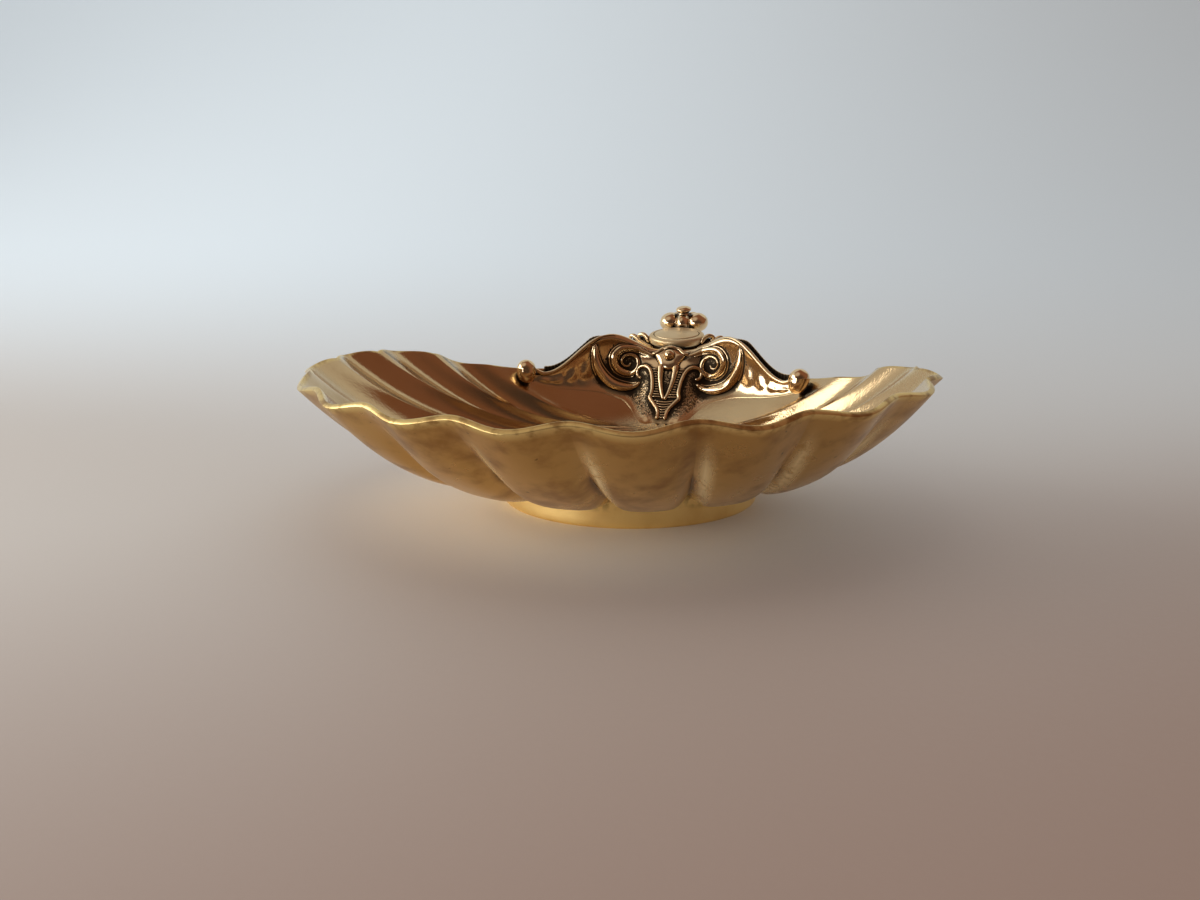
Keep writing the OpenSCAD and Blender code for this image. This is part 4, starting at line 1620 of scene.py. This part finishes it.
@dataclass
class Strap:
    """Lyre-shaped strap on the tongue: hooked rails, a V, small rungs and a hooded head."""

    face: Face
    rail: tuple[tuple[float, float, float], ...] = (
        (7.5, 22.1, 0.39),
        (8.6, 22.4, 0.46),
        (9.0, 23.8, 0.52),
        (8.1, 25.0, 0.54),
        (6.4, 25.2, 0.56),
        (5.0, 24.2, 0.57),
        (4.2, 22.3, 0.57),
        (3.8, 20.1, 0.57),
        (3.75, 18.5, 0.57),
        (4.0, 17.3, 0.57),
        (3.0, 16.1, 0.55),
        (1.6, 14.5, 0.55),
        (1.15, 13.1, 0.57),
        (1.1, 11.9, 0.62),
    )
    brace: tuple[tuple[float, float, float], ...] = (
        (2.2, 25.8, 1.00),
        (2.05, 23.8, 0.90),
        (1.85, 22.0, 0.76),
        (1.4, 20.2, 0.65),
        (0.9, 18.5, 0.55),
        (0.35, 17.3, 0.51),
        (0.0, 16.9, 0.46),
    )
    arch: tuple[tuple[float, float, float], ...] = (
        (-5.2, 28.5, 0.45),
        (-3.9, 28.6, 0.52),
        (-2.3, 29.7, 0.56),
        (0.0, 30.6, 0.58),
        (2.3, 29.7, 0.56),
        (3.9, 28.6, 0.52),
        (5.2, 28.5, 0.45),
    )
    rungs: int = 12
    rung_span: tuple[float, float] = (17.6, 24.6)
    arcs: int = 7
    arc_span: tuple[float, float] = (12.4, 16.3)
    beads: int = 11
    bead_span: tuple[float, float] = (18.9, 24.2)
    rung_radius: float = 0.21
    head_z: float = 27.7
    head_rise: float = 1.1
    head_power: float = 2.4
    head_lift: float = 0.2
    head_sink: float = 0.5
    head: tuple[tuple[float, float], ...] = (
        (0.0, 30.5),
        (1.7, 30.0),
        (3.1, 29.1),
        (4.4, 28.4),
        (3.8, 27.4),
        (3.0, 26.3),
        (2.5, 25.2),
        (1.3, 24.6),
        (0.0, 24.4),
    )
    ball: float = 1.6
    ball_up: float = 0.1
    ball_lift: float = 0.3
    ball_soot: float = 0.16

    def frame(self) -> bpy.types.Object:
        """Outer rails with hooks, inner rails in a V and the arch over the head.

        Returns:
            The new piece.
        """
        right = [
            self.face.band("rail", spline(self.rail, 110), 0.45),
            self.face.band("brace", spline(self.brace, 50), 0.45),
        ]
        left = [Bench.mirrored(p, p.name + "_twin") for p in right]
        return Bench.join("strap_rails", right + left + [self.face.band("arch", spline(self.arch, 60), 1.2)])

    def ladder(self) -> bpy.types.Object:
        """Rungs between the rails, small arcs under the V and a row of beads in its lane.

        Returns:
            The new piece.
        """
        rail, brace = spline(self.rail, 400), spline(self.brace, 100)
        rail = rail[np.argmax(rail[:, 1]) :]
        bars = []
        for z in np.linspace(*self.rung_span, self.rungs):
            a = np.interp(z, brace[::-1, 1], brace[::-1, 0])
            b = np.interp(z, rail[::-1, 1], rail[::-1, 0])
            bars += [self.face.on(side * np.linspace(a, b, 6), z, 0.2) for side in (-1, 1)]
        for z in np.linspace(*self.arc_span, self.arcs):
            b = np.interp(z + 0.4, rail[::-1, 1], rail[::-1, 0])
            x = np.linspace(-b, b, 13)
            bars.append(self.face.on(x, z + 0.6 * (x / b) ** 2, 0.2))
        for z in np.linspace(*self.bead_span, self.beads):
            bars.append(self.face.on(np.array([-0.22, 0.22]), z, 0.1))
        return Bench.bars("strap_ladder", bars, [np.full(len(b), self.rung_radius) for b in bars], 2)

    def boss(self) -> bpy.types.Object:
        """Hooded head that closes the top of the strap, with a ball in its middle.

        Returns:
            The new piece.
        """
        half = spline(self.head, 41)
        edge = np.vstack([half, half[-2:0:-1] * [-1, 1]])
        share = np.concatenate([np.linspace(0.05, 1, 22), [1.0]])[:, None]
        lift = self.head_rise * np.sqrt(np.maximum(0, 1 - share**self.head_power)) + self.head_lift
        lift[-1] = -self.head_sink
        rings = self.face.on(share * edge[:, 0], mix(self.head_z, edge[:, 1], share), lift + 0 * edge[:, 0])
        middle = self.face.on(np.array(0.0), np.array(self.head_z), self.head_rise + self.head_lift)
        hood = Bench.net("strap_hood", rings, middle, rings[-1].mean(0))
        turn = np.linspace(0, 2 * np.pi, 40, endpoint=False)
        side, up = np.cos(turn), np.sin(turn)
        tall = np.linspace(0, np.pi, 26)[1:-1][:, None]
        centre = np.array(self.head_z + self.ball_up)
        centre = self.face.on(np.array(0.0), centre, self.head_rise + self.ball_lift)
        ring = np.stack([np.sin(tall) * side, np.sin(tall) * up, np.cos(tall) + 0 * side], -1)
        ring = ring * self.ball + centre
        pole = np.array([0, 0, self.ball])
        marks = {"soot": np.full(ring.shape[:2], self.ball_soot)}
        ball = Bench.net("strap_ball", ring, centre + pole, centre - pole, marks)
        return Bench.join("strap_head", [hood, ball])


@dataclass
class Medallion:
    """Oval thumb plate in its border, with curled leaves beside it and the arm below it."""

    face: Face
    wide: float = 8.0
    long: float = 6.5
    tilt: float = 14.0
    thick: float = 2.2
    border: float = 1.4
    brim: float = 0.8
    gap: float = 0.1
    dome: float = 0.75
    groove: float = 0.2
    arm_wide: float = 7.0
    arm_waist: float = 0.22
    finial_v: float = 11.25
    leaf_back: float = 4.2
    leaf_lean: float = 0.25
    curls: tuple[tuple[tuple[float, float, float], ...], ...] = (
        (
            (6.2, 30.0, 0.66),
            (8.3, 30.6, 0.74),
            (10.3, 31.5, 0.74),
            (12.0, 32.8, 0.68),
            (13.1, 33.0, 0.58),
            (13.6, 32.1, 0.50),
            (13.0, 31.4, 0.44),
            (12.1, 31.7, 0.36),
        ),
        (
            (7.4, 31.2, 0.56),
            (8.2, 32.6, 0.64),
            (9.4, 33.5, 0.64),
            (10.6, 33.3, 0.56),
            (10.8, 32.5, 0.48),
            (10.0, 32.1, 0.40),
        ),
    )
    blade_spot: tuple[float, float] = (7.8, 30.5)
    blade_half: tuple[float, float, float] = (5.4, 0.5, 2.1)
    blade_rise: float = 0.18
    blade_soot: float = 0.2

    @property
    def rest(self) -> Array:
        """Front edge of the medallion over the crest's saddle."""
        return np.array([0.0, float(self.face.y(0.0)) + 0.8, float(self.face.top(0.0)) + self.gap])

    def on(self, x: Array, v: Array, h: Array) -> Array:
        """Find points on the sloping arm.

        Args:
            x: Places across.
            v: Distances up the slope from the medallion's middle.
            h: Heights out of its face.

        Returns:
            Rows of x, y and z.
        """
        t = math.radians(self.tilt)
        x, v, h = np.broadcast_arrays(np.asarray(x, float), np.asarray(v, float), np.asarray(h, float))
        v = v + self.long
        y, z = v * math.cos(t) - h * math.sin(t), v * math.sin(t) + h * math.cos(t)
        return np.stack([x, y, z], -1) + self.rest

    def turned(self, name: str, outline: Sequence[tuple[float, float]], closed: bool) -> bpy.types.Object:
        """Oval body from an outline of insets from the medallion's edge and heights.

        Args:
            name: Name of the piece.
            outline: Rows of inset and height.
            closed: True for a ring, False for a plate.

        Returns:
            The new piece.
        """
        turn = np.linspace(0, 2 * np.pi, 120, endpoint=False)
        sections = [
            self.on((self.wide - i) * np.cos(turn), (self.long - i) * np.sin(turn), np.full_like(turn, h))
            for i, h in outline
        ]
        rings = np.stack(sections, axis=1 if closed else 0)
        if closed:
            return Bench.hoop(name, rings)
        return Bench.net(name, rings, rings[0].mean(0), rings[-1].mean(0))

    def crown(self, inset: float) -> float:
        """Height of the medallion's domed face at an inset from its edge."""
        return self.thick - 0.1 + self.dome * (1 - (1 - inset / self.long) ** 2)

    def rim(self) -> bpy.types.Object:
        """Border of the plate, rounded over to its outer edge.

        Returns:
            The new piece.
        """
        b, r, high = self.border, self.brim, self.crown(self.border)
        quarter = np.linspace(0, np.pi / 2, 9)
        outline = [(b + 0.02, 0.1), (0.5, 0.1), (0.12, 0.35), (0.0, 0.8)]
        outline += [(r * (1 - math.cos(a)), self.crown(r) - r * (1 - math.sin(a))) for a in quarter]
        outline += [(i, self.crown(i)) for i in (1.0, b - 0.14)]
        outline += [(b - 0.03, high - 0.09), (b, high - 0.35), (b + 0.02, high - 0.8)]
        return self.turned("medallion_border", outline, True)

    def plate(self) -> bpy.types.Object:
        """Domed plate that carries on the border's curve past an engraved line.

        Returns:
            The new piece.
        """
        edge = self.border + self.groove
        rows = [(i, self.crown(i)) for i in np.linspace(self.long - 0.2, edge + 0.14, 26)]
        rows += [(edge + 0.03, self.crown(edge) - 0.09), (edge, self.crown(edge) - 0.35)]
        rows += [(edge, self.crown(edge) - 0.9), (edge + 2.5, self.crown(edge) - 1.0)]
        return self.turned("thumb_plate_oval", rows, False)

    def right_leaf(self) -> bpy.types.Object:
        """Leaf beside the medallion: two curls with dark hollows, the outer one rolled in.

        Returns:
            The new piece.
        """
        y = self.rest[1] + self.leaf_back
        lines = [spline(curl, 60) for curl in self.curls]
        paths = [np.column_stack([c[:, 0], y + self.leaf_lean * (c[:, 0] - 8), c[:, 1]]) for c in lines]
        rolls = Bench.bars("leaf_rolls", paths, [c[:, 2] for c in lines])
        turn = np.linspace(0, 2 * np.pi, 40, endpoint=False)
        tall = np.linspace(0, np.pi, 18)[1:-1][:, None]
        (mid_x, mid_z), (half_x, half_y, half_z) = self.blade_spot, self.blade_half
        x = mid_x + half_x * np.sin(tall) * np.cos(turn)
        z = mid_z + half_z * np.cos(tall) + self.blade_rise * (x - mid_x)
        behind = y + self.leaf_lean * (x - 8) + 0.7 + half_y * np.sin(tall) * np.sin(turn)
        dish = np.stack([x, behind, z], -1)
        soot = {"soot": np.full(dish.shape[:2], self.blade_soot)}
        blade = Bench.net("leaf_blade", dish, dish[0].mean(0), dish[-1].mean(0), soot)
        return Bench.join("right_leaf_curl", [rolls, blade])

    def arm(self) -> bpy.types.Object:
        """Arm from the back of the crest to the finial, rounded and waisted under the medallion.

        Returns:
            The new piece.
        """
        c, f = self.face, self.face.form
        t = math.radians(self.tilt)
        start = float(c.y(0.0)) + c.plate - 0.2
        end = self.rest[1] + (self.long + self.finial_v + 1.4) * math.cos(t)
        y = np.linspace(start, end, 40)
        top = self.rest[2] + (y - self.rest[1]) * math.tan(t) - 0.02
        heel_z = [f.hinge_z + 0.55, f.hinge_z + 0.95, top[-1] - 2.3]
        heel = np.interp(y, [start, f.hinge_y + f.wall, end], heel_z)
        half = self.arm_wide / 2 * (1 - self.arm_waist * np.sin(np.pi * (y - start) / (end - start)))
        turn = np.linspace(0, 2 * np.pi, 48, endpoint=False)
        cx = np.sign(np.cos(turn)) * np.abs(np.cos(turn)) ** 0.5
        cz = np.sign(np.sin(turn)) * np.abs(np.sin(turn)) ** 0.5
        rings = np.stack(
            [
                half[:, None] * cx,
                y[:, None] + 0 * cx,
                ((top + heel) / 2)[:, None] + ((top - heel) / 2)[:, None] * cz,
            ],
            -1,
        )
        return Bench.net("handle_arm_casting", rings, rings[0].mean(0), rings[-1].mean(0))


@dataclass
class Finial:
    """Three-lobed flower at the end of the arm, with a flat knob on its middle lobe."""

    medallion: Medallion
    knob_size: tuple[float, float, float] = (2.25, 2.2, 0.95)
    knob_h: float = 6.1
    lobes: tuple[tuple[float, float, float, float, float, float], ...] = (
        (0.0, -1.8, 2.3, 2.2, 2.9, 2.7),
        (4.0, -0.4, 2.3, 3.2, 3.4, 2.8),
        (-4.0, -0.4, 2.3, 3.2, 3.4, 2.8),
        (2.2, 2.2, 2.2, 2.7, 2.3, 2.4),
        (-2.2, 2.2, 2.2, 2.7, 2.3, 2.4),
        (0.0, -0.2, 4.5, 1.7, 1.9, 1.7),
    )
    fuse: float = 0.16

    def ball(self, name: str, spot: Sequence[float], size: Sequence[float]) -> bpy.types.Object:
        """Make an egg-shaped lobe on the arm.

        Args:
            name: Name of the lobe.
            spot: Its middle: across, along the arm and up.
            size: Its half sizes across, along and up.

        Returns:
            The new piece.
        """
        tall = np.linspace(0, np.pi, 30)[1:-1]
        turn = np.linspace(0, 2 * np.pi, 48, endpoint=False)
        x = spot[0] + size[0] * np.sin(tall)[:, None] * np.cos(turn)
        v = spot[1] + size[1] * np.sin(tall)[:, None] * np.sin(turn)
        h = spot[2] + size[2] * np.cos(tall)[:, None] + 0 * turn
        rings = self.medallion.on(x, v + self.medallion.finial_v, h)
        return Bench.net(name, rings, rings[0].mean(0), rings[-1].mean(0))

    def flower(self) -> bpy.types.Object:
        """Lobes fused into one casting.

        Returns:
            The new piece.
        """
        parts = [self.ball(f"lobe_{k}", row[:3], row[3:]) for k, row in enumerate(self.lobes)]
        piece = Bench.join("finial_lobes", parts)
        Bench.apply(piece, "REMESH", mode="VOXEL", voxel_size=self.fuse * MM, use_smooth_shade=True)
        Bench.apply(piece, "SMOOTH", factor=0.5, iterations=4)
        Bench.shade(piece)
        return piece

    def knob(self) -> bpy.types.Object:
        """Flat knob on the flower's neck."""
        return self.ball("finial_knob", (0.0, -0.1, self.knob_h), self.knob_size)


@dataclass
class Patina:
    """Finds how hollow each point of the crest lies, for the dark patina."""

    reach: float = 3.2
    rays: int = 24
    lift: float = 0.03
    fall: float = 0.6

    def directions(self) -> Array:
        """Spread of directions over a half sphere, denser around its pole.

        Returns:
            Rows of x, y and z, with the pole along z.
        """
        k = np.arange(self.rays) + 0.5
        r, a = np.sqrt(k / self.rays), np.pi * (1 + math.sqrt(5)) * k
        return np.stack([r * np.cos(a), r * np.sin(a), np.sqrt(1 - r**2 * 0.98)], -1)

    def mark(self, pieces: Iterable[bpy.types.Object], around: Iterable[bpy.types.Object]) -> None:
        """Store the hollow mark on pieces.

        Args:
            pieces: The pieces to mark.
            around: Neighbours that shade them and get no mark.
        """
        pieces = list(pieces)
        tree = Bench.tree([*pieces, *around])
        fan = self.directions()
        for piece in pieces:
            rows = Bench.points(piece)
            normal = np.zeros(rows.size)
            piece.data.vertex_normals.foreach_get("vector", normal)
            normal = normal.reshape(-1, 3)
            side = np.cross(normal, np.where(np.abs(normal[:, :1]) < 0.8, [[1.0, 0, 0]], [[0, 1.0, 0]]))
            side /= np.maximum(np.linalg.norm(side, axis=1, keepdims=True), 1e-9)
            third = np.cross(normal, side)
            hits = np.zeros(len(rows))
            origin = rows + normal * self.lift * MM
            reach = self.reach * MM
            for a, b, c in fan:
                aim = side * a + third * b + normal * c
                found = [tree.ray_cast(o, d, reach)[3] for o, d in zip(origin.tolist(), aim.tolist())]
                hits += np.array([0.0 if f is None else 1.0 - self.fall * f / reach for f in found])
            Bench.mark(piece, "hollow", hits / self.rays)


@dataclass(frozen=True)
class Zone:
    """Soft-edged zone of the room that the metal mirrors."""

    colour: Colour
    aim: tuple[float, float, float]
    edge: tuple[float, float]

    def over(self, r: Recipe, room: Wire | Colour, aim: Wire) -> Wire:
        """Lay the zone over the room.

        Args:
            r: Recipe of the room.
            room: Colour of the room so far.
            aim: Direction that is looked in.

        Returns:
            Colour of the room with the zone.
        """
        middle = tuple(Vector(self.aim).normalized())
        dot = r.add("ShaderNodeVectorMath", {"operation": "DOT_PRODUCT"}, {0: aim, 1: middle})
        return r.blend(room, self.colour, r.step(r.out(dot, "Value"), *self.edge))


@dataclass(frozen=True)
class Lamp:
    """Soft rectangular lamp. A glow of 1 is a white surface."""

    name: str
    spot: tuple[float, float, float]
    aim: tuple[float, float, float]
    size: tuple[float, float]
    glow: float

    def build(self) -> None:
        """Hang the lamp and turn it to its aim."""
        data = bpy.data.lights.new(self.name, "AREA")
        data.shape, data.size, data.size_y = "RECTANGLE", self.size[0] * MM, self.size[1] * MM
        data.energy = self.glow * math.pi * self.size[0] * self.size[1] * MM**2
        lamp = bpy.data.objects.new(self.name, data)
        bpy.context.scene.collection.objects.link(lamp)
        lamp.location = Vector(self.spot) * MM
        lamp.rotation_euler = (Vector(self.aim) - Vector(self.spot)).to_track_quat("-Z", "Y").to_euler()


@dataclass(frozen=True)
class PaleSweep:
    """Finish of the floor and backdrop: pale, with painted shade that makes the floor darker and warmer
    towards the front right and near the shell, the backdrop darker to the right, and a painted pool of light
    around the foot. Its zones are in metres.
    """

    # Colour of the floor near the shell, darker than the backdrop: painted shade.
    near: Colour = (0.55, 0.49, 0.43)
    # Dark warm colour of the painted shade on the floor towards the front right.
    warm: Colour = (0.29, 0.18, 0.13)
    # Colour of the painted pool of light around the foot.
    painted_light_ring: Colour = (0.97, 0.90, 0.76)
    # Backdrop colours, paler and cooler on the left than on the right: painted light and shade, as light
    # falls from the left.
    far_left: Colour = (0.78, 0.85, 0.88)
    far_right: Colour = (0.45, 0.45, 0.44)
    deep_from: tuple[float, float] = (-0.02, 0.34)
    shade_lean: float = 0.9
    shade_from: tuple[float, float] = (-0.05, 0.24)
    shade_end: tuple[float, float] = (0.25, 0.50)
    wall_from: tuple[float, float] = (-0.40, 0.55)
    light_ring_end: tuple[float, float] = (0.032, 0.072)
    light_ring_side: tuple[float, float] = (0.0, 0.06)
    light_ring_fade: float = 0.6

    def build(self) -> bpy.types.Material:
        """Make the material, with a painted pool of light in a ring around the foot, weaker to the right.

        Returns:
            The material.
        """
        material, r = new_material("pale_sweep")
        where = r.add("ShaderNodeSeparateXYZ", None, {0: r.place()})
        x, y = r.out(where, "X"), r.out(where, "Y")
        grain = r.noise(1.2, 3.0)
        # Painted shade: the floor turns darker and warmer towards the front right, away from the light on the
        # left, and back to the near colour far in front.
        shade = r.step(x * self.shade_lean - y, *self.shade_from)
        shade = shade * (1.0 - r.step(0.0 - y, *self.shade_end))
        colour = r.blend(self.near, self.warm, shade)
        # Painted shade: the backdrop darkens from left to right, and the floor near the shell is darker than
        # the backdrop.
        wall = r.blend(self.far_left, self.far_right, r.step(x, *self.wall_from))
        colour = r.blend(colour, wall, r.step(y, *self.deep_from))
        # Painted light: a pale ring around the foot stands in for light thrown onto the floor by the foot and
        # fills its contact shade; it fades towards the right.
        apart = r.math("SQRT", x * x + y * y)
        ring = (1.0 - r.step(apart, *self.light_ring_end)) * (1.0 - self.light_ring_fade * r.step(x, *self.light_ring_side))
        colour = r.blend(colour, self.painted_light_ring, ring)
        rough = 0.62 + 0.1 * (grain - 0.5)
        r.surface(Base_Color=colour, Roughness=rough, Normal=r.bump(grain, 0.05, 0.25))
        return material


@dataclass
class Studio:
    """Pale sweep under and behind the shell, soft light from the left and the camera."""

    sweep_start: float = 42.0
    sweep_radius: float = 620.0
    sweep_end: float = 760.0
    half_width: float = 2200.0
    front: float = -2200.0
    front_share: float = 0.25
    ambient: Colour = (0.76, 0.77, 0.79)
    room: Colour = (0.19, 0.085, 0.050)
    zones: tuple[Zone, ...] = (
        Zone((0.060, 0.036, 0.026), (0.2, -1.0, 0.0), (0.3, 0.9)),
        Zone((0.54, 0.535, 0.52), (-0.50, 0.62, 0.60), (0.80, 0.90)),
        Zone((0.56, 0.55, 0.52), (0.30, 0.75, 0.59), (0.89, 0.955)),
        Zone((0.60, 0.59, 0.575), (-0.90, 0.0, 0.43), (0.86, 0.95)),
        Zone((0.48, 0.40, 0.34), (-0.3, -0.45, 0.84), (0.86, 0.98)),
    )
    lamps: tuple[Lamp, ...] = (
        Lamp("left_window", (-750, -250, 330), (0, 0, 15), (560, 420), 2.6),
        Lamp("low_screen", (-300, -300, 75), (0, -20, 6), (340, 130), 4.4),
    )
    camera_spot: tuple[float, float, float] = (52.54, -201.55, 54.63)
    camera_turn: tuple[float, float, float] = (78.03, 0.0, 16.52)
    lens: float = 27.0
    sensor: float = 36.0
    clip: tuple[float, float] = (0.005, 20.0)

    def sweep(self) -> bpy.types.Object:
        """Make the floor, which curves up behind the shell.

        Returns:
            The floor.
        """
        Bench.clear()
        bpy.ops.mesh.primitive_grid_add(x_subdivisions=2, y_subdivisions=64, size=2.0)
        floor = Bench.named("pale_sweep")
        rows = Bench.points(floor)
        share, flat = (rows[:, 1] + 1) / 2, self.front_share
        front = mix(self.front, self.sweep_start, share / flat)
        back = mix(self.sweep_start, self.sweep_end, (share - flat) / (1 - flat))
        y = np.where(share < flat, front, back)
        z = np.maximum(0, y - self.sweep_start) ** 2 / (2 * self.sweep_radius)
        Bench.place(floor, np.stack([rows[:, 0] * self.half_width, y, z], -1))
        Bench.shade(floor)
        floor.data.materials.append(PaleSweep().build())
        return floor

    def surroundings(self) -> None:
        """Set even pale light for the floor, and the warm dark room that the metal mirrors."""
        world = bpy.data.worlds.new("room")
        bpy.context.scene.world = world
        world.use_nodes = True
        r = Recipe(world.node_tree)
        aim = r.out(r.add("ShaderNodeTexCoord"), "Generated")
        room: Wire | Colour = self.room
        for zone in self.zones:
            room = zone.over(r, room, aim)
        mirrored = r.out(r.add("ShaderNodeLightPath"), "Is Glossy Ray")
        colour = r.blend(self.ambient, room, mirrored)
        shade = r.out(r.add("ShaderNodeBackground", None, {"Color": colour, "Strength": 1.0}))
        r.add("ShaderNodeOutputWorld", None, {"Surface": shade})

    def build(self) -> None:
        """Set up the sweep, the light and the camera."""
        self.sweep()
        self.surroundings()
        for lamp in self.lamps:
            lamp.build()
        scene = bpy.context.scene
        camera = bpy.data.objects.new("camera", bpy.data.cameras.new("camera"))
        scene.collection.objects.link(camera)
        camera.location = Vector(self.camera_spot) * MM
        camera.rotation_euler = [math.radians(a) for a in self.camera_turn]
        camera.data.lens, camera.data.sensor_width = self.lens, self.sensor
        camera.data.clip_start, camera.data.clip_end = self.clip
        scene.camera = camera
        scene.view_settings.view_transform = "Standard"


def dress(
    piece: bpy.types.Object, material: bpy.types.Material, nodes: Sequence[str] = ()
) -> bpy.types.Object:
    """Give a piece its finish and its place on the part.

    Args:
        piece: The mesh.
        material: Its finish.
        nodes: Solids of the part that the piece stands for.

    Returns:
        The same piece.
    """
    piece.data.materials.clear()
    piece.data.materials.append(material)
    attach(piece, "root")
    if nodes:
        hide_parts(*nodes)
    log.info("%s: %d faces, for %s", piece.name, len(piece.data.polygons), ", ".join(nodes) or "detail only")
    return piece


def both(build: Callable[[], bpy.types.Object]) -> dict[Side, bpy.types.Object]:
    """Build a right-hand piece and its mirrored twin."""
    right = build()
    return {Side.RIGHT: right, Side.LEFT: Bench.mirrored(right, right.name.replace("right", "left"))}


def main() -> None:
    """Build every piece in order, dress it and set the stage."""
    logging.basicConfig(level=logging.INFO, format="%(name)s: %(message)s")
    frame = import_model()
    log.info("%d nodes in the frame", len(frame["nodes"]))
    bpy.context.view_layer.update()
    Bench.clear()
    form = ShellForm()
    face = Face(form)
    gold = AntiqueGold().build()
    bowl = dress(Bowl(form).build(), ShellBrass().build(), ["shell_bowl"])
    dress(Foot().build(bowl), FootBrass().build(), ["foot_ring"])
    crest, scrolls, strap, medallion = Crest(face), Scrolls(face), Strap(face), Medallion(face)
    finial = Finial(medallion)
    bands = [spline(scrolls.volute, 120), spline(scrolls.crescent, 80), spline(strap.rail, 80)]
    castings = [dress(crest.body(bands), gold, ["crest_plate"])]
    pairs = [
        (crest.rim, Slot.CREST, None),
        (crest.gallery, Slot.CREST, "gallery"),
        (crest.drop, Slot.CREST, "ball"),
        (scrolls.right_volute, Slot.SCROLLS, "volute"),
        (scrolls.right_crescent, Slot.SCROLLS, "crescent"),
        (medallion.right_leaf, Slot.MEDALLION, "leaf"),
    ]
    for build, slot, node in pairs:
        for side, piece in both(build).items():
            castings.append(dress(piece, gold, [f"{side.word}_{node}"] if node else []))
    single = [
        (strap.frame, Slot.STRAP, "strap_frame"),
        (strap.ladder, Slot.STRAP, "strap_rungs"),
        (strap.boss, Slot.STRAP, "strap_boss"),
        (medallion.arm, Slot.MEDALLION, "handle_arm"),
        (finial.flower, Slot.FINIAL, "finial_flower"),
        (finial.knob, Slot.FINIAL, "finial_bead"),
    ]
    castings += [dress(build(), gold, [node]) for build, slot, node in single]
    plate = ThumbPlate().build()
    castings.append(dress(medallion.rim(), plate, ["medallion_rim"]))
    castings.append(dress(medallion.plate(), plate, ["medallion_plate"]))
    Patina().mark(castings, [bowl])
    Studio().build()


if __name__ == "__main__":
    main()
